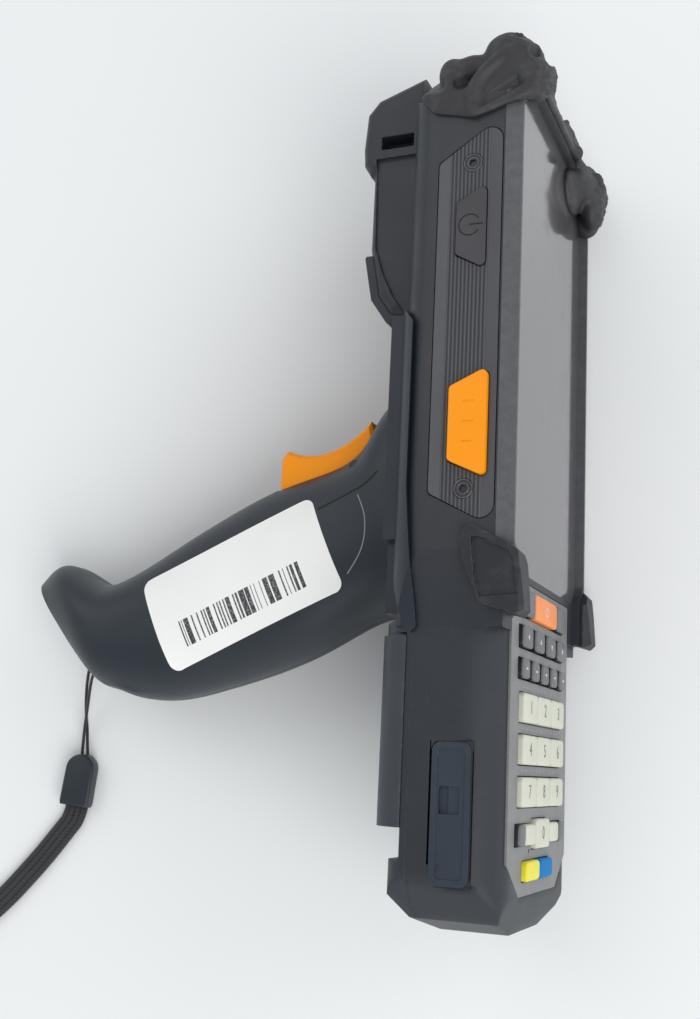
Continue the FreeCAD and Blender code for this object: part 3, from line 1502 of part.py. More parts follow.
def make_lanyard():
    """Make the lanyard: a thin cord round the grip's bar, its cap and the flat wrist strap on the table."""
    level = FLOOR
    top = FreeCAD.Vector(-118.8, -72.0, level)
    along = FreeCAD.Vector(-0.0995, -0.9950, 0).normalize()
    aside = FreeCAD.Vector(0.9950, -0.0995, 0).normalize()
    centre_height = cap_height.value / 2
    bar = FreeCAD.Vector(lanyard_depth.value, lanyard_height.value, 0)
    outward = FreeCAD.Vector(-0.77, -0.639, 0).normalize()
    across = FreeCAD.Vector(outward.y * -1, outward.x, 0)
    ring = lanyard_bar_radius.value + cord_diameter.value / 2 + 0.1
    sides = [laid(bar + across * ring * sign) for sign in (1, -1)]
    back = laid(bar - outward * ring)
    ends = [top + Z_AXIS * centre_height + aside * cap_spread.value * sign for sign in (-1, 1)]
    first = [ends[0], ends[0] - along * 4] + [
        FreeCAD.Vector(x, y, level + height) for x, y, height in [
            (-119.75, -62.6, 1.9), (-118.6, -57.8, 4.6), (-116.3, -53.2, 8.9),
        ]
    ] + [laid(bar + across * ring + outward * 4.5), sides[0]]
    second = [sides[1], laid(bar - across * ring + outward * 4.5)] + [
        FreeCAD.Vector(x, y, level + height) for x, y, height in [
            (-117.6, -50.6, 10.6), (-118.6, -55.8, 8.2), (-118.9, -61.3, 5.6),
        ]
    ] + [ends[1] - along * 4, ends[1]]
    first_edges, first_radii = path(first)
    second_edges, second_radii = path(second)
    print("cord radii", first_radii, second_radii)
    edges = first_edges + [Part.Arc(sides[0], back, sides[1]).toShape()] + second_edges
    up = Z_AXIS * (cord_diameter.value / 2)
    right = aside * (cord_diameter.value / 2)
    corners = [ends[0] + right * math.cos(math.pi * step / 4) + up * math.sin(math.pi * step / 4)
               for step in range(8)]
    profile = Part.makePolygon(corners + corners[:1])
    cord = feature("cord", swept("lanyard_cord", edges, profile))

    cap = make_cap(top, along, aside)

    bottom = top + along * (cap_length.value + seat_gap.value)
    height = strap_thickness.value / 2 + seat_gap.value
    legs = [bottom + Z_AXIS * height + aside * strap_spread.value * sign for sign in (-1, 1)]
    loop = [legs[1], legs[1] + along * 4] + [
        FreeCAD.Vector(x, y, level + height) for x, y in [
            (-121.4, -97.8), (-127.6, -106.4), (-137.4, -114.2), (-146.8, -124.0), (-152.5, -137.0),
            (-163.0, -148.0), (-178.0, -152.0), (-192.0, -146.0), (-198.0, -133.0), (-193.5, -119.5),
            (-181.0, -112.5), (-166.5, -112.0), (-152.5, -113.6), (-141.6, -109.4), (-133.3, -103.3),
            (-126.8, -96.6),
        ]
    ] + [legs[0] + along * 4, legs[0]]
    loop_edges, loop_radii = path(loop)
    print("strap radii", loop_radii)
    half_width_vector = aside * (strap_width.value / 2)
    half_height_vector = Z_AXIS * (strap_thickness.value / 2)
    corners = [
        legs[1] - half_width_vector - half_height_vector,
        legs[1] + half_width_vector - half_height_vector,
        legs[1] + half_width_vector + half_height_vector,
        legs[1] - half_width_vector + half_height_vector,
    ]
    profile = Part.makePolygon(corners + corners[:1])
    strap = feature("strap", swept("wrist_strap", loop_edges, profile))
    for label, item in (("lanyard_cord", cord), ("cord_cap", cap), ("wrist_strap", strap)):
        item.Label = label
        loose[label] = item


def make_cap(top, along, aside):
    """Make the moulded cap that joins the cord to the strap."""
    base = top - aside * (cap_width.value / 2) + Z_AXIS * seat_gap.value
    block = Part.makeBox(cap_width.value, cap_length.value, cap_height.value)
    frame = FreeCAD.Placement(FreeCAD.Matrix(
        aside.x, -along.x, 0, 0,
        aside.y, -along.y, 0, 0,
        0, 0, 1, 0,
        0, 0, 0, 1,
    ))
    longways = [edge for edge in block.Edges if edge.BoundBox.YLength > cap_length.value - 0.01]
    block = block.makeFillet(cap_height.value * 0.32, longways)
    corners = [edge for edge in block.Edges
               if edge.BoundBox.ZLength > cap_height.value * 0.3 and edge.BoundBox.YLength < 1e-6
               and edge.CenterOfMass.y > cap_length.value - 0.01]
    block.translate(FreeCAD.Vector(0, -cap_length.value, 0))
    block = block.transformGeometry(frame.toMatrix()) if not corners else block.transformed(frame.toMatrix())
    block.translate(base)
    return feature("cap", block)


def lowest():
    """Return the lowest level that a rigid piece reaches in the tilted frame."""
    return min(item.Shape.transformed(TILT.toMatrix()).optimalBoundingBox(False).ZMin
               for label, item in nodes.items() if label in ("top_boot", "grip_plate", "grip_right_shell"))


# The terminal is turned about its long axis until its right flank and its grip meet the table
TILT = FreeCAD.Placement(ORIGIN, FreeCAD.Rotation(Y_AXIS, -1 * rest_tilt.value))
loose = {}
for label in ("top_boot", "grip_plate", "grip_right_shell", "rear_housing"):
    print(label, "reaches down to %.2f" % nodes[label].Shape.transformed(TILT.toMatrix()).optimalBoundingBox(False).ZMin)
FLOOR = lowest()
make_lanyard()

# The table frame has its origin under the middle of the terminal, without the lanyard
tilted = [item.Shape.transformed(TILT.toMatrix()).optimalBoundingBox(False) for item in nodes.values()]
middle = FreeCAD.Vector(
    (min(box.XMin for box in tilted) + max(box.XMax for box in tilted)) / 2,
    (min(box.YMin for box in tilted) + max(box.YMax for box in tilted)) / 2,
    min(box.ZMin for box in tilted),
)
LIFT = FreeCAD.Placement(middle * -1, FreeCAD.Rotation())
REST = LIFT.multiply(TILT)
for item in nodes.values():
    item.Placement = REST.multiply(item.Placement)
for label, item in loose.items():
    item.Placement = LIFT.multiply(item.Placement)
    nodes[label] = item
doc.recompute()
print("rest", REST.Base, REST.Rotation.Q, "lift", LIFT.Base)

# Nothing is written unless every object and every piece is sound
failed = [item.Name for item in doc.Objects if "Invalid" in item.State or "Error" in item.State]
unsound = [label for label, item in nodes.items() if item.Shape.isNull() or not item.Shape.isValid()]
if failed or unsound:
    raise RuntimeError("failed: %s, unsound: %s" % (failed, unsound))

os.makedirs("parts", exist_ok=True)
for label, item in nodes.items():
    item.Shape.exportStep("parts/%s.step" % label)
print(len(nodes), "pieces")
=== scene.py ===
"""Dresses the handheld data terminal: finishes for the moulded parts, and the pieces that the CAD leaves to the scene.

The terminal lies on its right flank. Places on it are given in millimetres in its own frame:
X through the depth (screen side positive), Y along the length (scanning end positive) and
Z across the width (left flank positive). DEVICE turns that frame onto the table, in metres.
"""

import logging
import math
from dataclasses import dataclass, field
from enum import Enum
from typing import Callable, Iterable, Sequence

import bmesh
import bpy
from mathutils import Matrix, Vector


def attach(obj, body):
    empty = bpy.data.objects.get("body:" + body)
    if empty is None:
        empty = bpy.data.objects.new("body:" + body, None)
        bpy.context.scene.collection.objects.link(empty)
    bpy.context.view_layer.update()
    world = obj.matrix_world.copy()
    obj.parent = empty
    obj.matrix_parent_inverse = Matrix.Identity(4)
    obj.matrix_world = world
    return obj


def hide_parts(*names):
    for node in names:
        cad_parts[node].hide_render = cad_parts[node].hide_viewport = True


logging.basicConfig(level=logging.INFO, format="%(message)s")
log = logging.getLogger("terminal")

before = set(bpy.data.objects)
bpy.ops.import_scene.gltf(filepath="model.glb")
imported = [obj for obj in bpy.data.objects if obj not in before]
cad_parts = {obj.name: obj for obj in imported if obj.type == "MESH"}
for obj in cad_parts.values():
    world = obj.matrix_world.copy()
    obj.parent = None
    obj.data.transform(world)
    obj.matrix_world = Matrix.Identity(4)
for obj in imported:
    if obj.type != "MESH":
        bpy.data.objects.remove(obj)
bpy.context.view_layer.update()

Colour = tuple[float, float, float]
Place = tuple[float, float, float]
Outline = Sequence[tuple[float, float]]

TILT = math.radians(-12.9)
SHIFT = Vector((52.2223, 1.25, 39.971))
MILLIMETRE = 0.001
DEVICE = Matrix.Scale(MILLIMETRE, 4) @ Matrix.Translation(SHIFT) @ Matrix.Rotation(TILT, 4, "Y")
DOUBLES = 1e-6
LEVEL = 1e-4
FULL_TURN = 2 * math.pi


class Side(Enum):
    """A direction that a flat detail faces, as the columns of its turn: right, up and outwards."""

    SCREEN = ((0, 0, -1), (0, 1, 0), (1, 0, 0))
    LEFT = ((1, 0, 0), (0, 1, 0), (0, 0, 1))

    def turn(self) -> Matrix:
        """Return the turn as a matrix."""
        return Matrix(self.value).transposed().to_4x4()


# ---------------------------------------------------------------- shader maths


class Wire:
    """A socket that takes part in Python expressions: each operator adds one Math node."""

    def __init__(self, tree: "Tree", socket: bpy.types.NodeSocket) -> None:
        """Keep the tree and the socket.

        Args:
            tree: The material's tree.
            socket: The output socket that holds the value.
        """
        self.tree = tree
        self.socket = socket

    def _math(self, operation: str, *values: "Wire | float") -> "Wire":
        """Return a Math node's result on the values."""
        return self.tree.maths(operation, *values)

    def __add__(self, other: "Wire | float") -> "Wire":
        """Return the sum."""
        return self._math("ADD", self, other)

    __radd__ = __add__

    def __mul__(self, other: "Wire | float") -> "Wire":
        """Return the product."""
        return self._math("MULTIPLY", self, other)

    __rmul__ = __mul__

    def __sub__(self, other: "Wire | float") -> "Wire":
        """Return the difference."""
        return self._math("SUBTRACT", self, other)

    def __rsub__(self, other: "Wire | float") -> "Wire":
        """Return the difference, turned round."""
        return self._math("SUBTRACT", other, self)

    def __gt__(self, other: "Wire | float") -> "Wire":
        """Return 1 where this is the greater, else 0."""
        return self._math("GREATER_THAN", self, other)

    def __lt__(self, other: "Wire | float") -> "Wire":
        """Return 1 where this is the less, else 0."""
        return self._math("LESS_THAN", self, other)

    def sine(self) -> "Wire":
        """Return the sine."""
        return self._math("SINE", self)

    def clipped(self) -> "Wire":
        """Return this held between 0 and 1."""
        return self._math("MINIMUM", self._math("MAXIMUM", self, 0.0), 1.0)

    def between(self, low: float, high: float) -> "Wire":
        """Return 1 where this lies between two levels, else 0."""
        return (self > low) * (self < high)


class Tree:
    """The node tree of one material."""

    def __init__(self, name: str) -> None:
        """Start a material with nothing but its output.

        Args:
            name: The material's name.
        """
        self.material = bpy.data.materials.new(name)
        self.material.use_nodes = True
        self.nodes = self.material.node_tree.nodes
        self.links = self.material.node_tree.links
        self.nodes.clear()
        self.output = self.nodes.new("ShaderNodeOutputMaterial")
        self._device: tuple[Wire, Wire, Wire] | None = None
        self._object: bpy.types.NodeSocket | None = None

    def node(self, kind: str, settings: dict | None = None, inputs: dict | None = None) -> bpy.types.Node:
        """Add a node, set it and then fill its sockets.

        Args:
            kind: The node's type.
            settings: The node's own settings.
            inputs: Values or links for its sockets, by name or number.

        Returns:
            The node.
        """
        made = self.nodes.new(kind)
        for key, value in (settings or {}).items():
            setattr(made, key, value)
        for key, value in (inputs or {}).items():
            self.fill(made.inputs[key], value)
        return made

    def fill(self, socket: bpy.types.NodeSocket, value: object) -> None:
        """Link or set one socket.

        Args:
            socket: The input socket.
            value: A wire, a socket, a number or a row of numbers.
        """
        if isinstance(value, Wire):
            self.links.new(value.socket, socket)
        elif isinstance(value, bpy.types.NodeSocket):
            self.links.new(value, socket)
        elif isinstance(value, tuple) and socket.type == "RGBA":
            socket.default_value = (*value[:3], 1.0)
        else:
            socket.default_value = value

    def maths(self, operation: str, *values: Wire | float) -> Wire:
        """Return a Math node's result."""
        made = self.node("ShaderNodeMath", {"operation": operation}, dict(enumerate(values)))
        return Wire(self, made.outputs[0])

    def mix(self, factor: Wire | float, first: object, second: object) -> bpy.types.NodeSocket:
        """Return the mix of two colours.

        Args:
            factor: The share of the second colour.
            first: A colour or a socket.
            second: A colour or a socket.

        Returns:
            The socket with the mixed colour.
        """
        made = self.node("ShaderNodeMix", {"data_type": "RGBA"}, {0: factor, 6: first, 7: second})
        return made.outputs[2]

    def places(self) -> bpy.types.NodeSocket:
        """Return the Object coordinates, in metres.

        Returns:
            The socket with the coordinates.
        """
        if self._object is None:
            self._object = self.node("ShaderNodeTexCoord").outputs["Object"]
        return self._object

    def device(self) -> tuple[Wire, Wire, Wire]:
        """Return the place in the terminal's own frame, in millimetres, as three wires.

        Returns:
            The place through the depth, along the length and across the width.
        """
        if self._device is None:
            back = Matrix.Rotation(-TILT, 3, "Y") @ SHIFT * -1
            mapped = self.node("ShaderNodeMapping", {"vector_type": "POINT"}, {
                "Vector": self.places(), "Location": back, "Rotation": (0.0, -TILT, 0.0),
                "Scale": (1000.0, 1000.0, 1000.0),
            })
            parts = self.node("ShaderNodeSeparateXYZ", None, {0: mapped.outputs[0]})
            self._device = tuple(Wire(self, socket) for socket in parts.outputs)
        return self._device

    def uv(self) -> tuple[Wire, Wire]:
        """Return the piece's own U and V, as two wires."""
        parts = self.node("ShaderNodeSeparateXYZ", None, {0: self.node("ShaderNodeTexCoord").outputs["UV"]})
        return Wire(self, parts.outputs[0]), Wire(self, parts.outputs[1])

    def noise(self, size: float, detail: float = 2.0, roughness: float = 0.5) -> Wire:
        """Return a noise whose lumps are about a size, in millimetres.

        Args:
            size: The lumps' size.
            detail: The octaves.
            roughness: How strong the finer octaves are.

        Returns:
            The noise, about 0.5 on average.
        """
        made = self.node("ShaderNodeTexNoise", {"noise_dimensions": "3D"}, {
            "Vector": self.places(), "Scale": 1000.0 / size, "Detail": detail, "Roughness": roughness,
        })
        return Wire(self, made.outputs[0])

    def steps(self, factor: Wire, stops: Sequence[tuple[float, Colour]], smooth: bool = True) -> bpy.types.NodeSocket:
        """Return a colour ramp.

        Args:
            factor: What runs along the ramp.
            stops: Each stop's place and colour.
            smooth: False for hard steps.

        Returns:
            The ramp's colour.
        """
        made = self.node("ShaderNodeValToRGB")
        made.color_ramp.interpolation = "LINEAR" if smooth else "CONSTANT"
        elements = made.color_ramp.elements
        while len(elements) < len(stops):
            elements.new(1.0)
        for element, (place, colour) in zip(elements, stops):
            element.position = place
            element.color = (*colour, 1.0)
        self.fill(made.inputs[0], factor)
        return made.outputs[0]

    def bevelled(self, radius: float) -> tuple[bpy.types.NodeSocket, Wire]:
        """Return a normal that rounds hard edges, and a mask of those edges.

        Args:
            radius: The rounding, in millimetres.

        Returns:
            The normal, and a wire that is 1 on the sharpest edges.
        """
        soft = self.node("ShaderNodeBevel", {"samples": 4}, {"Radius": radius * MILLIMETRE}).outputs[0]
        true = self.node("ShaderNodeNewGeometry").outputs["Normal"]
        dot = self.node("ShaderNodeVectorMath", {"operation": "DOT_PRODUCT"}, {0: soft, 1: true}).outputs["Value"]
        return soft, ((1.0 - Wire(self, dot)) * 6.0).clipped()

    def surface(self, normal: object, height: Wire | None, **sockets: object) -> bpy.types.Material:
        """Finish the material with a Principled shader.

        Args:
            normal: The normal under the relief, or None.
            height: The relief in metres, or None.
            sockets: The shader's sockets, with underscores for spaces.

        Returns:
            The material.
        """
        shader = self.node("ShaderNodeBsdfPrincipled", None,
                           {name.replace("_", " "): value for name, value in sockets.items()})
        if height is not None:
            inputs = {"Height": height, "Distance": 1.0, "Strength": 1.0}
            if normal is not None:
                inputs["Normal"] = normal
            normal = self.node("ShaderNodeBump", None, inputs).outputs[0]
        if normal is not None:
            self.links.new(normal, shader.inputs["Normal"])
        self.links.new(shader.outputs[0], self.output.inputs["Surface"])
        return self.material


# ---------------------------------------------------------------- finishes


@dataclass(frozen=True)
class Moulded:
    """A moulded surface: its colour, its gloss, and the size and depth of its grain in millimetres."""

    name: str
    colour: Colour
    roughness: float = 0.5
    grain: float = 0.32
    depth: float = 0.012
    speckle: float = 0.0
    wear: float = 0.35
    rounding: float = 0.22
    cloud: float = 0.10
    coat: float = 0.0
    gloss: float = 0.5
    end_rounding: float = 0.0
    ends: tuple[float, float] = (-95.0, 92.0)

    def tint(self, tree: Tree, colour: bpy.types.NodeSocket) -> bpy.types.NodeSocket:
        """Return the colour with this finish's own pattern: here, none."""
        return colour

    def relief(self, tree: Tree) -> Wire:
        """Return the relief in metres: here, the moulded grain.

        Args:
            tree: The material's tree.

        Returns:
            The height.
        """
        fine = tree.noise(self.grain, 2.0) - 0.5
        broad = tree.noise(self.grain * 14, 2.0) - 0.5
        return (fine + broad * 1.5) * (self.depth * MILLIMETRE)

    def make(self) -> bpy.types.Material:
        """Return the finished material.

        Returns:
            The material.
        """
        tree = Tree(self.name)
        normal, edge = tree.bevelled(self.rounding)
        if self.end_rounding:
            along = tree.device()[1]
            near_ends = ((along < self.ends[0]) + (along > self.ends[1])).clipped()
            full = tree.node("ShaderNodeBevel", {"samples": 6}, {"Radius": self.end_rounding * MILLIMETRE}).outputs[0]
            normal = tree.node("ShaderNodeMix", {"data_type": "VECTOR"}, {0: near_ends, 4: normal, 5: full}).outputs[1]
        cloud = tree.noise(9.0, 3.0)
        dark = tuple(value * (1 - self.cloud * 1.6) for value in self.colour)
        light = tuple(min(1.0, value * (1 + self.cloud * 1.6) + 0.002) for value in self.colour)
        colour = tree.mix(cloud.clipped(), dark, light)
        if self.speckle:
            dust = (tree.noise(0.42, 1.0) - 0.62) * 9.0
            colour = tree.mix(dust.clipped() * self.speckle, colour, (0.35, 0.36, 0.38))
        colour = self.tint(tree, colour)
        scuffs = (tree.noise(1.6, 4.0, 0.65) - 0.42) * 4.0
        worn = (edge * scuffs.clipped() * self.wear).clipped()
        pale = tuple(value * 0.55 + 0.16 for value in self.colour)
        colour = tree.mix(worn, colour, pale)
        handled = tree.noise(17.0, 3.0, 0.6)
        roughness = (handled - 0.5) * 0.22 + self.roughness - worn * 0.12
        return tree.surface(normal, self.relief(tree), Base_Color=colour, Roughness=roughness.clipped(),
                            Coat_Weight=self.coat, Specular_IOR_Level=self.gloss)


@dataclass(frozen=True)
class RimmedHousing(Moulded):
    """The front casing: greyer towards the scanning end, with a paler speckled chamfer beside the glass, its paleness
    partly a painted highlight where the chamfer faces the light.
    """

    upper: Colour = (0.026, 0.027, 0.033)
    rim: Colour = (0.104, 0.107, 0.116)
    rim_depth: float = 9.7
    rim_width: float = 33.0
    rim_start: float = -24.0

    def tint(self, tree: Tree, colour: bpy.types.NodeSocket) -> bpy.types.NodeSocket:
        """Return the colour, greyer upwards and paler on the chamfer, partly as a painted highlight.

        Args:
            tree: The material's tree.
            colour: The colour so far.

        Returns:
            The socket with the new colour.
        """
        across, along, width = tree.device()
        colour = tree.mix(((along + 40.0) * 0.02).clipped(), colour, self.upper)
        # Painted highlight, partly a paler speckled coat: the chamfer beside the glass, which faces the light, is made
        # paler.
        flanks = tree.maths("ABSOLUTE", width) > self.rim_width
        rim = (across > self.rim_depth) * flanks * ((along - self.rim_start) * 0.25).clipped()
        patchy = (tree.noise(2.2, 4.0, 0.65) * 0.9 + 0.35).clipped()
        return tree.mix(rim * patchy, colour, self.rim)


@dataclass(frozen=True)
class RibbedPanel(Moulded):
    """The flank's inlay: a dotted strip, lengthwise ribs and a smooth front strip, cut across its depth."""

    dots_end: float = -3.7
    ribs_end: float = 6.2
    rib_pitch: float = 0.94
    dot_pitch: float = 0.62
    outer_level: float = 36.5
    rib_height: float = 0.10
    dot_height: float = 0.07

    def ribs(self, tree: Tree) -> tuple[Wire, Wire, Wire]:
        """Return the waves of the ribs, and the masks of the ribbed and of the dotted strip.

        Args:
            tree: The material's tree.

        Returns:
            The waves, the mask of the ribs and the mask of the dots.
        """
        across, _, width = tree.device()
        outer = width > self.outer_level
        wave = (across * (FULL_TURN / self.rib_pitch)).sine()
        return wave, across.between(self.dots_end + 0.5, self.ribs_end) * outer, (across < self.dots_end) * outer

    def dots(self, tree: Tree) -> Wire:
        """Return the grid of small raised dots.

        Args:
            tree: The material's tree.

        Returns:
            The grid, from 0 to 1.
        """
        across, along, _ = tree.device()
        turn = FULL_TURN / self.dot_pitch
        return ((across * turn).sine() * (along * turn).sine() - 0.1).clipped()

    def tint(self, tree: Tree, colour: bpy.types.NodeSocket) -> bpy.types.NodeSocket:
        """Return the colour, with painted shade between the ribs, painted highlights on the rib crests and on the dots,
        and the dotted strip a little paler.

        Args:
            tree: The material's tree.
            colour: The colour so far.

        Returns:
            The socket with the new colour.
        """
        wave, ribbed, dotted = self.ribs(tree)
        # Painted shade: near black in the troughs between the ribs.
        colour = tree.mix(((wave * -1.0).clipped() * ribbed) * 0.85, colour, (0.008, 0.009, 0.012))
        # Painted highlight: paler on the crests of the ribs.
        colour = tree.mix(((wave - 0.55) * 2.0).clipped() * ribbed * 0.6, colour, (0.13, 0.135, 0.15))
        # Painted highlight on the raised dots, and the whole dotted strip a little paler.
        return tree.mix(self.dots(tree) * dotted * 0.5 + dotted * 0.14, colour, (0.17, 0.175, 0.185))

    def relief(self, tree: Tree) -> Wire:
        """Return the grain with the ribs and the dots on it.

        Args:
            tree: The material's tree.

        Returns:
            The height in metres.
        """
        wave, ribbed, dotted = self.ribs(tree)
        raised = self.dots(tree) * dotted * (self.dot_height * MILLIMETRE)
        return wave * ribbed * (self.rib_height * MILLIMETRE) + raised + super().relief(tree)


@dataclass(frozen=True)
class DarkKey(Moulded):
    """A grey key, darkened to near black below its shoulder."""

    shoulder: float = 12.1

    def tint(self, tree: Tree, colour: bpy.types.NodeSocket) -> bpy.types.NodeSocket:
        """Return the colour, black below the key's shoulder."""
        below = (self.shoulder - tree.device()[0]) * 5.0
        return tree.mix(below.clipped(), colour, (0.006, 0.007, 0.009))


@dataclass(frozen=True)
class WornRubber(Moulded):
    """Soft rubber with scuffed, chalky patches."""

    patch: float = 0.35

    def tint(self, tree: Tree, colour: bpy.types.NodeSocket) -> bpy.types.NodeSocket:
        """Return the colour with chalky patches and fine scratches.

        Args:
            tree: The material's tree.
            colour: The colour so far.

        Returns:
            The socket with the new colour.
        """
        chalk = ((tree.noise(5.5, 6.0, 0.68) - 0.50) * 5.0).clipped()
        colour = tree.mix(chalk * self.patch, colour, (0.105, 0.105, 0.108))
        lines = ((tree.noise(0.8, 5.0, 0.8) - 0.63) * 8.0).clipped()
        return tree.mix(lines * 0.45, colour, (0.17, 0.17, 0.175))


@dataclass(frozen=True)
class ScreenGlass:
    """Coated glass over a switched-off display with a black border, lightly smeared, and soft patches of painted
    reflection on the display.
    """

    name: str = "screen_glass"
    panel: Colour = (0.082, 0.079, 0.085)
    border: Colour = (0.075, 0.075, 0.08)
    shown_along: tuple[float, float] = (-17.0, 83.0)
    shown_across: tuple[float, float] = (-31.0, 31.0)

    def make(self) -> bpy.types.Material:
        """Return the finished material.

        Returns:
            The material.
        """
        tree = Tree(self.name)
        _, along, across = tree.device()
        shown = along.between(*self.shown_along) * across.between(*self.shown_across)
        # Painted reflection: the display is made up to about a fifth paler in broad, soft patches.
        cloud = tree.noise(26.0, 3.0, 0.5)
        painted_reflection = tree.mix(cloud.clipped(), self.panel, tuple(value * 1.18 for value in self.panel))
        colour = tree.mix(shown, self.border, painted_reflection)
        smear = ((tree.noise(7.0, 5.0, 0.7) - 0.5) * 3.0).clipped()
        dust = ((tree.noise(0.5, 2.0) - 0.68) * 12.0).clipped()
        colour = tree.mix(dust * 0.3, colour, (0.4, 0.4, 0.41))
        roughness = smear * 0.16 + 0.10
        return tree.surface(None, None, Base_Color=colour, Roughness=roughness, IOR=1.5,
                            Coat_Weight=0.3, Coat_Roughness=0.06)


@dataclass(frozen=True)
class Metal:
    """A turned or blackened metal with fine tool marks."""

    name: str
    colour: Colour
    roughness: float = 0.35

    def make(self) -> bpy.types.Material:
        """Return the finished material.

        Returns:
            The material.
        """
        tree = Tree(self.name)
        normal, edge = tree.bevelled(0.1)
        marks = tree.noise(0.25, 3.0, 0.6)
        colour = tree.mix(edge * 0.6, self.colour, tuple(min(1.0, value * 2.2 + 0.05) for value in self.colour))
        return tree.surface(normal, (marks - 0.5) * (0.008 * MILLIMETRE), Base_Color=colour, Metallic=1.0,
                            Roughness=(marks * 0.2 + self.roughness - 0.1).clipped())


@dataclass(frozen=True)
class Board:
    """Solder mask with faint copper runs under it."""

    name: str = "circuit_board"
    chip_level: float = 1.5

    def make(self) -> bpy.types.Material:
        """Return the finished material.

        Returns:
            The material.
        """
        tree = Tree(self.name)
        depth, along, _ = tree.device()
        runs = (((along * 2.4).sine() * (tree.noise(6.0, 1.0) - 0.4) * 6.0) - 0.4).clipped()
        colour = tree.mix(runs, (0.012, 0.075, 0.03), (0.03, 0.16, 0.06))
        colour = tree.mix(depth < self.chip_level, colour, (0.015, 0.015, 0.017))
        return tree.surface(None, runs * (0.02 * MILLIMETRE), Base_Color=colour, Roughness=runs * -0.1 + 0.42)


@dataclass(frozen=True)
class Woven:
    """Woven or twisted yarn that follows the piece's own UV map: U round it and V along it, in millimetres; its colour
    darkens with painted shade in the low parts of the weave.
    """

    name: str
    colour: Colour
    pitch: float
    ridges: float
    depth: float

    def make(self) -> bpy.types.Material:
        """Return the finished material.

        Returns:
            The material.
        """
        tree = Tree(self.name)
        across, along = tree.uv()
        turn = FULL_TURN / self.pitch
        chevron = tree.maths("ABSOLUTE", across - 0.5) * self.ridges
        left = ((along * turn) + chevron * FULL_TURN).sine()
        warp = (across * (FULL_TURN * self.ridges)).sine()
        weave = (left * 0.6 + warp * 0.4) * 0.5 + 0.5
        fuzz = tree.noise(0.5, 3.0, 0.7)
        # Painted shade: the yarn darkens to about a third of its colour where the weave lies low.
        dark = tuple(value * 0.35 for value in self.colour)
        colour = tree.mix((weave * 0.8 + fuzz * 0.3).clipped(), dark, self.colour)
        height = (weave + fuzz * 0.5) * (self.depth * MILLIMETRE)
        return tree.surface(None, height, Base_Color=colour, Roughness=0.85, Sheen_Weight=0.35,
                            Sheen_Roughness=0.5)


@dataclass(frozen=True)
class PlainLabel:
    """A glossy white sticker with plain dark bars, which follow its own UV map."""

    name: str = "plain_label"
    bars: tuple[float, ...] = (
        0.130, 0.140, 0.146, 0.151, 0.158, 0.186, 0.205, 0.213, 0.238, 0.246, 0.262, 0.270, 0.281, 0.286,
        0.294, 0.316, 0.338, 0.346, 0.356, 0.364, 0.374, 0.382, 0.392, 0.400, 0.410, 0.430, 0.452, 0.460,
    )
    more_bars: tuple[float, ...] = (
        0.466, 0.478, 0.486, 0.516, 0.522, 0.546, 0.556, 0.562, 0.576, 0.582, 0.606, 0.612, 0.626, 0.654,
        0.664, 0.694, 0.722, 0.728, 0.744, 0.750, 0.766, 0.776, 0.784, 0.800, 0.812, 0.830,
    )
    bar_rows: tuple[float, float] = (0.17, 0.44)

    def row(self, tree: Tree, along: Wire, edges: Sequence[float]) -> Wire:
        """Return 1 on each bar of a row.

        Args:
            tree: The material's tree.
            along: The place along the label, from 0 to 1.
            edges: Where the bars start and end, in turn.

        Returns:
            The mask of the bars.
        """
        stops = [(0.0, (0.0, 0.0, 0.0))]
        stops += [(edge, (1.0,) * 3 if number % 2 == 0 else (0.0,) * 3) for number, edge in enumerate(edges)]
        return Wire(tree, tree.steps(along, stops, smooth=False))

    def make(self) -> bpy.types.Material:
        """Return the finished material.

        Returns:
            The material.
        """
        tree = Tree(self.name)
        along, up = tree.uv()
        bars = (self.row(tree, along, self.bars) + self.row(tree, along, self.more_bars)) * up.between(*self.bar_rows)
        soft = ((tree.noise(0.5, 2.0) - 0.3) * 4.0).clipped() * 0.25 + 0.75
        paper = tree.mix(tree.noise(14.0, 2.0).clipped(), (0.86, 0.865, 0.86), (0.93, 0.93, 0.925))
        colour = tree.mix(bars * soft, paper, (0.035, 0.035, 0.04))
        return tree.surface(None, (tree.noise(3.0, 2.0) - 0.5) * (0.03 * MILLIMETRE), Base_Color=colour,
                            Roughness=0.38)


@dataclass(frozen=True)
class Paint:
    """Thin printed marks, and flat near-black marks of painted shade where gaps, seams, holes and cuts are."""

    name: str
    colour: Colour
    roughness: float = 0.5

    def make(self) -> bpy.types.Material:
        """Return the finished material, slightly uneven as print is.

        Returns:
            The material.
        """
        tree = Tree(self.name)
        uneven = ((tree.noise(0.3, 2.0) - 0.25) * 3.0).clipped()
        colour = tree.mix(uneven, tuple(value * 0.75 for value in self.colour), self.colour)
        return tree.surface(None, None, Base_Color=colour, Roughness=self.roughness)


